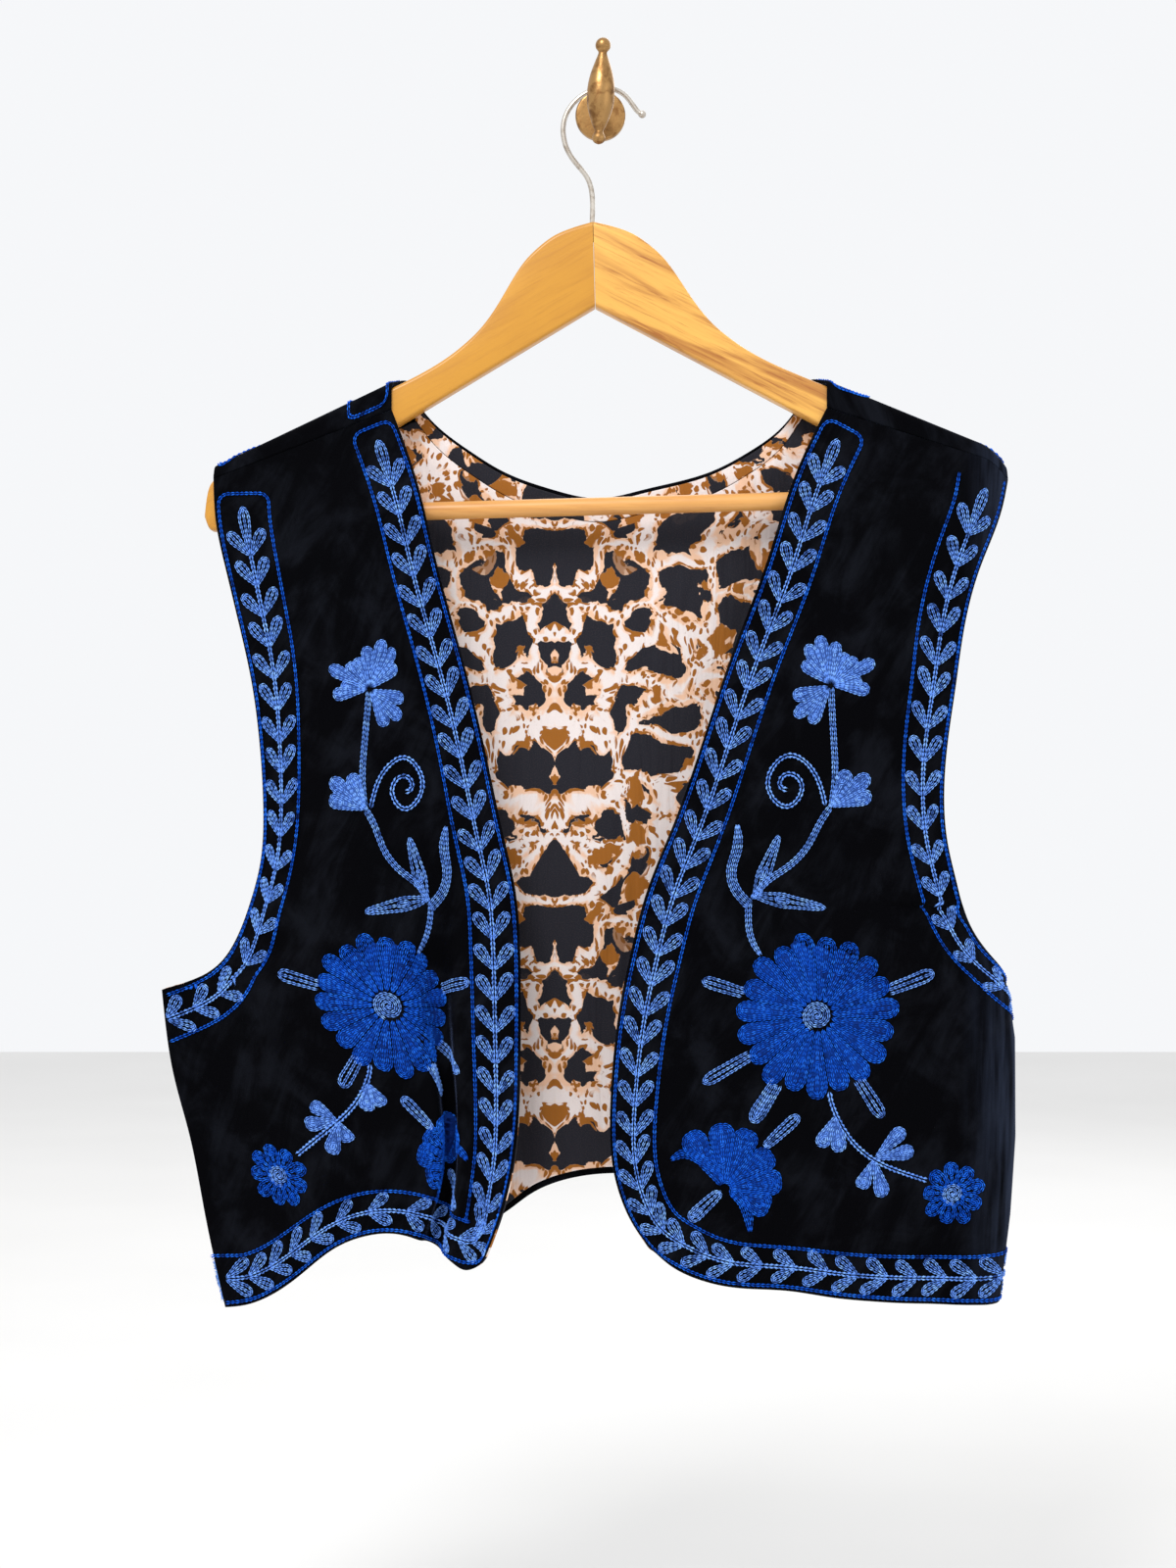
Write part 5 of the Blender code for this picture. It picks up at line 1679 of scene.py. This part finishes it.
class Shader:
    """The nodes of one material."""

    def __init__(self, name: str, **fixed: float | Tone) -> None:
        """Makes the material.

        Args:
            name: Its name.
            fixed: The shader's sockets that are the same all over, spaces written as _.
        """
        self.material = bpy.data.materials.new(name)
        self.material.use_nodes = True
        self.tree = self.material.node_tree
        self.surface = self.tree.nodes["Principled BSDF"]
        for key, value in fixed.items():
            whole = (*value, 1.0) if isinstance(value, tuple) else value
            self.surface.inputs[key.replace("_", " ")].default_value = whole

    def add(
        self,
        kind: str,
        settings: dict[str, object] | None = None,
        inputs: dict[str | int, object] | None = None,
        output: str | int = 0,
    ) -> Value:
        """Adds a node.

        Args:
            kind: Its type.
            settings: What is set on the node itself, before its sockets.
            inputs: A value or a link for each socket, by name or number.
            output: Which output is wanted.

        Returns:
            That output.
        """
        node = self.tree.nodes.new(kind)
        for key, value in (settings or {}).items():
            if key == "stops":
                self.set_stops(node.color_ramp, value)
            else:
                setattr(node, key, value)
        for key, value in (inputs or {}).items():
            if isinstance(value, Value):
                self.tree.links.new(value.socket, node.inputs[key])
            else:
                socket = node.inputs[key]
                socket.default_value = (*value, 1.0) if socket.type == "RGBA" and len(value) == 3 else value
        return Value(self, node.outputs[output])

    @staticmethod
    def set_stops(ramp: bpy.types.ColorRamp, stops: Sequence[tuple[float, Tone]]) -> None:
        """Sets a ramp's stops, in rising order."""
        while len(ramp.elements) < len(stops):
            ramp.elements.new(1.0)
        for element, (place, colour) in zip(ramp.elements, stops):
            element.position = place
            element.color = (*colour, 1.0)

    def where(self, scale: Tone = (1, 1, 1), turn: Tone = (0, 0, 0), flat: bool = False) -> Value:
        """Places on the piece, turned, then in metres times scale: in the round, or flat in its cut."""
        source = self.add("ShaderNodeTexCoord", output="UV" if flat else "Object")
        turned = self.add("ShaderNodeMapping", None, {"Vector": source, "Rotation": turn}) if any(turn) else source
        return self.add("ShaderNodeMapping", None, {"Vector": turned, "Scale": scale})

    def noise(self, where: Value, *given: float) -> Value:
        """Soft noise from 0 to 1. given holds its scale, detail, roughness and bend."""
        plain = {"Scale": 1.0, "Detail": 2.0, "Roughness": 0.5, "Distortion": 0.0}
        return self.add("ShaderNodeTexNoise", None, {"Vector": where, **plain, **dict(zip(plain, given))})

    def mix(self, first: object, second: object, share: object) -> Value:
        """A mix of two colours."""
        settings = {"data_type": "RGBA", "clamp_factor": True}
        return self.add("ShaderNodeMix", settings, {0: share, 6: first, 7: second}, output=2)

    def ramp(self, value: Value, *stops: tuple[float, Tone]) -> Value:
        """Colours along a value."""
        return self.add("ShaderNodeValToRGB", {"stops": stops}, {0: value})

    def drive(self, socket: str, value: Value) -> None:
        """Lets a value drive one of the shader's sockets."""
        self.tree.links.new(value.socket, self.surface.inputs[socket])

    def relief(self, height: Value, depth: float, before: Value | None = None) -> Value:
        """Relief from a height of 0 to 1, with its depth in metres, on top of an earlier one."""
        inputs = {"Strength": 1.0, "Distance": depth, "Height": height}
        if before:
            inputs["Normal"] = before
        made = self.add("ShaderNodeBump", None, inputs)
        self.drive("Normal", made)
        return made


@dataclass(frozen=True)
class Velvet:
    """Black-blue cotton velvet: its nap lies smudged in soft patches, and a painted sheen lightens the cloth where it
    turns away at the left side.
    """

    name: str = "black_velvet"
    deep: Tone = tone(3, 3, 5)
    brushed: Tone = tone(18, 20, 26)
    # Painted sheen: the lighter blue-grey mixed in where the cloth turns away at the left side.
    turned: Tone = tone(44, 51, 68)
    sheen: float = 0.5

    def make(self) -> Finish:
        """Brushed patches over a deep ground, a painted sheen at the left side, and a fine pile in the relief."""
        s = Shader(
            self.name,
            Roughness=0.9,
            Specular_IOR_Level=0.03,
            Sheen_Weight=self.sheen,
            Sheen_Roughness=0.16,
            Sheen_Tint=tone(120, 136, 180),
        )
        flat = s.where(flat=True)
        patches = s.noise(flat, 26, 4, 0.6, 0.6)
        strokes = s.noise(s.where((60, 16, 16), (0, 0, 0.5), flat=True), 1.0, 5, 0.65, 0.9)
        lint = s.noise(flat, 900, 2, 0.6)
        brushed = (patches * 0.55 + strokes * 0.45).between(0.44, 0.68)
        colour = s.mix(self.deep, self.brushed, brushed * 0.85 + lint * 0.15 - 0.05)
        # Painted sheen: past x = 205 mm the colour is mixed, in uneven streaks, towards the turned tone.
        side = s.add("ShaderNodeSeparateXYZ", None, {0: s.where()}).between(0.205, 0.245)
        sheen_streaks = s.noise(s.where((120, 9, 1), flat=True), 1.0, 3, 0.6).between(0.3, 0.7)
        colour = s.mix(colour, self.turned, side * sheen_streaks)
        s.drive("Base Color", colour)
        pile = s.noise(flat, 1900, 3, 0.7)
        soft = s.noise(flat, 120, 3, 0.55)
        s.relief(pile, 0.00022, s.relief(soft, 0.0006))
        return s.material


@dataclass(frozen=True)
class Wool:
    """Embroidery yarn: each stitch has its own depth of dye, and fibres run along it."""

    name: str
    dark: Tone
    plain: Tone
    pale: Tone

    def make(self) -> Finish:
        """A ramp over each stitch's shade, with fine streaks and a fibrous relief."""
        s = Shader(self.name, Roughness=0.8, Specular_IOR_Level=0.12)
        shade = s.add("ShaderNodeAttribute", {"attribute_name": "Shade"}, output="Fac")
        fibre = s.noise(s.where(), 2600, 3, 0.7)
        worn = s.noise(s.where(), 38, 3, 0.6)
        mixed = shade * 0.62 + fibre * 0.2 + worn * 0.34 - 0.08
        # The dark stop also colours the underlay, whose shade is near 0: painted shade between the rows.
        s.drive("Base Color", s.ramp(mixed, (0.12, self.dark), (0.5, self.plain), (0.88, self.pale)))
        s.relief(fibre, 0.00025)
        return s.material


@dataclass(frozen=True)
class PrintedCotton:
    """Cotton with a plain spotted animal print: dark blots, ochre rims and ticks, a pale ground."""

    name: str = "printed_cotton"
    mirror: float = -0.027
    repeat: float = 0.221
    dark: Tone = tone(18, 19, 30)
    ochre: Tone = tone(150, 90, 20)
    pale: Tone = tone(228, 217, 214)
    peach: Tone = tone(230, 188, 158)

    def cells(self, s: Shader, where: Value, scale: float, feature: str, output: str) -> Value:
        """Irregular cells: their distances or their own chance colours."""
        return s.add("ShaderNodeTexVoronoi", {"feature": feature}, {"Vector": where, "Scale": scale}, output)

    def make(self) -> Finish:
        """Cells on a folded and rolled plane, bent by noise and cut at set levels.

        The plane is folded on the mirror line and rolled with the repeat as its girth, so
        that the print is the same on both sides and again after each repeat.
        """
        s = Shader(self.name, Roughness=0.75, Specular_IOR_Level=0.25, Sheen_Weight=0.05)
        flat = s.where(flat=True)
        x = s.add("ShaderNodeSeparateXYZ", None, {0: flat})
        z = s.add("ShaderNodeSeparateXYZ", None, {0: flat}, 1)
        turn = z * (2 * math.pi / self.repeat)
        radius = self.repeat / (2 * math.pi)
        folded = (x - self.mirror).size()
        rolled = {0: folded, 1: turn.wave() * radius, 2: (turn + math.pi / 2).wave() * radius}
        where = s.add("ShaderNodeCombineXYZ", None, rolled)
        for scale, reach in ((38, 0.021), (150, 0.0052), (520, 0.0014)):
            coarse = where
            push = s.add("ShaderNodeTexNoise", None, {"Vector": where, "Scale": scale, "Detail": 1.0}, "Color")
            push = s.add("ShaderNodeVectorMath", {"operation": "SUBTRACT"}, {0: push, 1: (0.5, 0.5, 0.5)})
            push = s.add("ShaderNodeVectorMath", {"operation": "SCALE"}, {0: push, "Scale": reach})
            where = s.add("ShaderNodeVectorMath", {"operation": "ADD"}, {0: where, 1: push})
        edge = self.cells(s, where, 29, "DISTANCE_TO_EDGE", "Distance")
        lobes = self.cells(s, where, 74, "F1", "Distance")
        chosen = s.add("ShaderNodeSeparateXYZ", None, {0: self.cells(s, where, 62, "F1", "Color")})
        inside = self.cells(s, where, 62, "DISTANCE_TO_EDGE", "Distance").between(0.06, 0.08)
        bites = chosen.between(0.74, 0.76) * inside
        depth = edge - s.noise(where, 30, 1, 0.5) * 0.10 - lobes * 0.12
        blot = depth.between(0.004, 0.010) * (1 - bites)
        rim = depth.between(-0.040, -0.034) * (1 - blot)
        ragged = s.noise(where, 110, 1, 0.5).between(0.55, 0.57)
        long = s.add("ShaderNodeMapping", None, {"Vector": coarse, "Scale": (1, 0.62, 0.62)})
        ticks = self.cells(s, long, 310, "F1", "Distance")
        ticks = (1 - ticks.between(0.36, 0.42)) * s.noise(where, 60, 1, 0.5).between(0.38, 0.44)
        worn = s.noise(where, 190, 3, 0.6) * 0.10 + s.noise(where, 40, 1, 0.5) * 0.16
        ground = s.mix(self.pale, self.peach, (edge + worn).between(0.16, 0.22))
        brown = (rim * ragged).most(ticks).most(bites * s.noise(where, 70, 1, 0.5).between(0.50, 0.53))
        marked = s.mix(ground, self.ochre, brown)
        colour = s.mix(marked, self.dark, blot)
        thread = s.noise(flat, 1500, 2, 0.5)
        s.drive("Base Color", s.mix(colour, tone(120, 105, 98), thread.between(0.4, 0.9) * 0.12))
        warp = (x * 9000).wave()
        creases = s.noise(s.where((70, 7, 1), flat=True), 1.0, 3, 0.6, 0.5)
        s.relief(warp * 0.5 + thread * 0.5, 0.00006, s.relief(creases, 0.0022))
        return s.material


@dataclass(frozen=True)
class Wood:
    """Lacquered wood, its grain along the arm."""

    name: str
    light: Tone
    deep: Tone
    streaks: float
    lean: float

    def make(self) -> Finish:
        """Long stretched noise for the grain, broad waves of colour, and pores in the relief."""
        s = Shader(self.name, Roughness=0.42, Specular_IOR_Level=0.45, Coat_Weight=0.25, Coat_Roughness=0.3)
        along = s.where((7, 60, 110), (0, self.lean, 0))
        broad = s.noise(along, 1.0, 4, 0.55, 0.7)
        fine = s.noise(s.where((26, 420, 700), (0, self.lean, 0)), 1.0, 4, 0.65, 0.3)
        cloudy = s.noise(s.where(), 16, 2, 0.5)
        dark = broad.between(0.42, 0.72) * self.streaks + fine.between(0.5, 0.75) * self.streaks * 0.7
        colour = s.mix(self.light, self.deep, dark)
        colour = s.mix(colour, self.deep, cloudy.between(0.45, 0.8) * 0.3)
        s.drive("Base Color", colour)
        s.drive("Roughness", fine * 0.18 + 0.32)
        s.relief(fine, 0.00008)
        return s.material


@dataclass(frozen=True)
class Metal:
    """Worn metal: broad stains, fine scratches and a rougher tarnish."""

    name: str
    bright: Tone
    stained: Tone
    roughness: float

    def make(self) -> Finish:
        """Stains over the bright metal, and scratches in its roughness."""
        s = Shader(self.name, Metallic=1.0)
        stain = s.noise(s.where(), 160, 4, 0.6, 0.4).between(0.42, 0.7)
        scratch = s.noise(s.where((300, 300, 2400)), 1.0, 3, 0.6)
        s.drive("Base Color", s.mix(self.bright, self.stained, stain))
        s.drive("Roughness", stain * 0.18 + scratch * 0.16 + self.roughness)
        s.relief(scratch, 0.00003)
        return s.material


@dataclass
class Vest:
    """The garment: two fronts, the back with its straps, the lining and the neck facing."""

    hanger: HangerForm

    def __post_init__(self) -> None:
        """Lays out the shoulders and the three panels."""
        right, left = Shoulder(Side.RIGHT, self.hanger, 119.4, 223.3), Shoulder(Side.LEFT, self.hanger, 132.7, 235.3)
        on_left = LeftFrontForm(left, LEFT_EDGE, LEFT_HEM, LEFT_ARMHOLE, LEFT_SIDE, LEFT_HANG, LEFT_FOLDS)
        on_right = RightFrontForm(right, RIGHT_EDGE, RIGHT_HEM, RIGHT_ARMHOLE, RIGHT_SIDE, RIGHT_HANG, RIGHT_FOLDS)
        holes = BACK_ARMHOLE_RIGHT, BACK_ARMHOLE_LEFT
        back = BackForm(right, left, on_left, RIGHT_SIDE, NECK_SCOOP, *holes, BACK_HEM, BACK_FOLDS)
        self.left = FrontPanel("left_front", on_left, 0.9)
        self.right = FrontPanel("right_front", on_right, 4.1)
        self.back = BackPanel(back)

    @staticmethod
    def borders(block: Block) -> tuple[Line, Line]:
        """A front's two long borders in its flat plane: edge with hem, and the armhole.

        Args:
            block: The front's even grid.

        Returns:
            The line down the front edge and along the hem, and the line down the armhole.
        """
        down, across = block.border.shape
        under = int(round(Cut.UNDERARM * (down - 1)))
        edge, hem = block.flat[picked(down, 22), 0], block.flat[-1, picked(across, 14)]
        return Line(np.concatenate([edge, hem[1:]])), Line(block.flat[picked(under + 1, 18), -1])

    def embroider_fronts(self, wools: dict[Dye, Finish]) -> list[list[Piece]]:
        """Both fronts' embroidery, a piece for each dye.

        The design's places are found on the left front, and the same shares of its width and
        length on the right front carry them over.

        Args:
            wools: The finish of each dye.

        Returns:
            The pieces.
        """
        left, right = self.left.block(150, 240, False), self.right.block(190, 240, False)
        grounds = {Side.LEFT: Ground([left], -1.0), Side.RIGHT: Ground([right], -1.0)}

        def carried(points: Array) -> Array:
            """The right front's places for the left front's."""
            _, where = grounds[Side.LEFT].locate(points)
            limit = np.array(left.border.shape) - 1.0
            shares = where / limit * (np.array(right.border.shape) - 1.0)
            return Ground.read(right.flat, shares[:, 0], shares[:, 1])

        made = []
        for panel, side, block, warp in (
            (self.right, Side.RIGHT, right, carried),
            (self.left, Side.LEFT, left, lambda points: points),
        ):
            needle = Needle(grounds[side], warp, 11 + side.value)
            edge, armhole = self.borders(block)
            design = FrontDesign(needle, side.value, edge, armhole)
            if side is Side.LEFT:
                design.bands(False, (5.0, 1.5), (19.5, 21.0), 0.0)
            else:
                design.bloom, design.inset, design.drop = 41.0, 10.0, 10.0
                design.bands(True, (5.0, 9.0), (25.5, 27.5), -0.44)
            design.sprays()
            made.append([needle.make(f"{panel.name}_{dye.value}_stitches", dye, wools[dye]) for dye in Dye])
        return made

    def embroider_back(self, wools: dict[Dye, Finish]) -> list[Piece]:
        """The back's bands: round the neck, both armholes and the hem."""
        blocks = self.back.blocks(300, 220, False)
        needle = Needle(Ground(blocks, 1.0), lambda points: points, 5)
        body, right, left = (b.flat for b in blocks)
        u = self.back.columns(300)
        low, high = self.back.form.neck
        scoop = body[0, (u > low + 0.004) & (u < high - 0.004)]
        scoop = scoop[:: max(1, len(scoop) // 22)]
        neck = np.concatenate([right[::7, -1], scoop, left[::-1, 0][::7]])
        under = int(round(Cut.UNDERARM * (len(body) - 1)))
        arm_rows = np.unique(np.round(np.linspace(2, under, 20)).astype(int))
        right_hole = np.concatenate([right[::7, 0], body[arm_rows, 0]])
        left_hole = np.concatenate([left[::7, -1], body[arm_rows, -1]])
        hem = body[-1][:: max(1, body.shape[1] // 26)]
        arm = ((0, 29), (0.5, 28), (0.8, 24), (1, 22))
        for places, hand, inner, end, caps, bare, slant in (
            (neck, -1, ((0, 29), (1, 29)), 5.5, (True, True), (54, 54), (0.58, 0.58)),
            (right_hole, 1, arm, 2.0, (True, False), (54, 2), (0, 0)),
            (left_hole, -1, arm, 2.0, (True, False), (54, 2), (0, 0)),
            (hem, 1, ((0, 28), (1, 28)), 2.0, (False, False), (4, 2), (0, 0)),
        ):
            line = Line(places)
            needle.band(line, hand, inner, end, line.length - end, caps, bare=bare, slant=slant)
        return [needle.make(f"back_{dye.value}_stitches", dye, wools[dye]) for dye in Dye]


def declare(piece: Piece, skin: Skin, sewn_on: Sequence[Piece] = ()) -> None:
    """Logs a cloth piece's cut size and area, from its skin's flat places."""
    LOG.info("%s: cut %.0f x %.0f mm, %.4f square metres", piece.name, *(s / MM for s in skin.size), skin.area)


def dress(piece: Piece, slot: str, *nodes: str) -> Piece:
    """Lets a piece ride on the frame and stand for CAD nodes, and logs its faces."""
    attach(piece, "root")
    if nodes:
        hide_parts(*nodes)
    LOG.info("%s: %d faces", piece.name, len(piece.data.polygons))
    return piece


@dataclass
class Studio:
    """A pale floor, soft light from all sides and the camera at the photo's angle."""

    floor_z: float = -0.95
    eye: tuple[float, float, float] = (-0.00745, -1.660, -0.4009)
    lens: float = 63.42

    def lamp(self, name: str, place: Tone, target: Tone, size: float, power: float) -> None:
        """A square soft light aimed at a place."""
        data = bpy.data.lights.new(name, "AREA")
        data.size = size
        data.energy = power
        made = bpy.data.objects.new(name, data)
        made.location = place
        made.rotation_euler = (Vector(target) - Vector(place)).to_track_quat("-Z", "Y").to_euler()
        bpy.context.scene.collection.objects.link(made)

    def build(self) -> None:
        """Sets the floor, the world, the lights and the camera."""
        s = Shader("studio_floor", Roughness=0.9, Specular_IOR_Level=0.1)
        s.drive("Base Color", s.mix(tone(236, 235, 233), tone(228, 227, 225), s.noise(s.where(), 3, 2)))
        reach = 4 / MM
        x, y = np.meshgrid(*[np.linspace(-reach, reach, 9)] * 2)
        places = np.c_[x.ravel(), y.ravel(), np.full(x.size, self.floor_z / MM)]
        floor = put_mesh("floor", places, [grid_quads(*x.shape)[:, ::-1]])
        floor.data.materials.append(s.material)
        world = bpy.data.worlds.new("studio")
        world.use_nodes = True
        background = world.node_tree.nodes["Background"]
        background.inputs["Color"].default_value = (0.97, 0.98, 1.0, 1)
        background.inputs["Strength"].default_value = 0.95
        bpy.context.scene.world = world
        bpy.context.scene.view_settings.view_transform = "Standard"
        self.lamp("key", (-0.6, -1.5, 1.3), (0, 0, -0.35), 0.7, 30)
        self.lamp("fill", (1.9, -1.7, 0.3), (0, 0, -0.4), 1.6, 5)
        self.lamp("back", (0.6, 1.9, 1.0), (0, 0, -0.3), 1.6, 14)
        data = bpy.data.cameras.new("camera")
        data.sensor_fit = "AUTO"
        data.sensor_width = 36
        data.lens = self.lens
        camera = bpy.data.objects.new("camera", data)
        camera.location = self.eye
        camera.rotation_euler = (math.pi / 2, 0, 0)
        bpy.context.scene.collection.objects.link(camera)
        bpy.context.scene.camera = camera


def main() -> None:
    """Builds the vest, the hanger and the hook in order, then the studio."""
    logging.basicConfig(level=logging.INFO, format="%(message)s")
    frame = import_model()
    LOG.info("frame with %d nodes", len(frame["nodes"]))
    velvet = Velvet().make()
    cotton = PrintedCotton().make()
    form = HangerForm()
    vest = Vest(form)
    # The first tone of each wool is its dark stop, which also paints shade into the underlay between the rows.
    wools = {
        Dye.LIGHT: Wool("light_blue_wool", tone(22, 50, 118), tone(106, 156, 246), tone(146, 196, 255)).make(),
        Dye.ROYAL: Wool("royal_blue_wool", tone(0, 18, 72), tone(6, 82, 202), tone(40, 124, 246)).make(),
    }
    arms = ["hanger_arm_right_wood", "hanger_arm_left_wood"]
    for panel, arm, stitches in zip((vest.right, vest.left), arms, vest.embroider_fronts(wools)):
        skin = Skin(panel.name + "_cloth", [panel.block(150, 200, True)], 2.0, -1.0)
        piece = dress(skin.build(velvet, cotton), "velvet", panel.name)
        declare(piece, skin, [dress(s, "velvet") for s in stitches])
    skin = Skin("back_cloth", vest.back.blocks(200, 150, True), 2.0, 1.0)
    piece = dress(skin.build(velvet), "velvet", "back")
    declare(piece, skin, [dress(s, "velvet") for s in vest.embroider_back(wools)])
    prints = {"back_lining": cotton, "neck_facing": PrintedCotton("printed_cotton_strip", mirror=0.118).make()}
    for skin, (node, cloth) in zip(LiningPanel(vest.back.form).skins(), prints.items()):
        piece = dress(skin.build(cloth), "printed_cotton", node)
        declare(piece, skin)
    hanger = Hanger(form)
    woods = {
        Side.RIGHT: Wood("honey_wood", tone(200, 140, 38), tone(164, 102, 22), 0.4, 0.52),
        Side.LEFT: Wood("oak_wood", tone(230, 172, 78), tone(160, 96, 28), 0.9, -0.45),
    }
    for side, wood in woods.items():
        dress(hanger.arm(side, wood.make()), "lacquered_wood", f"hanger_arm_{side.name.lower()}")
    bar_wood = Wood("bar_wood", tone(216, 156, 82), tone(172, 108, 48), 0.6, 0.0)
    dress(hanger.bar(bar_wood.make()), "lacquered_wood", "trouser_bar")
    steel = Metal("bright_steel", tone(205, 198, 188), tone(160, 148, 134), 0.28).make()
    dress(hanger.wire(steel), "bright_steel", "hanger_hook")
    brass = Metal("aged_brass", tone(176, 136, 86), tone(124, 88, 52), 0.26).make()
    for piece, node in zip(WallHook().build(brass), ("wall_rose", "wall_hook", "wall_hook")):
        dress(piece, "aged_brass", node)
    Studio().build()


if __name__ == "__main__":
    main()
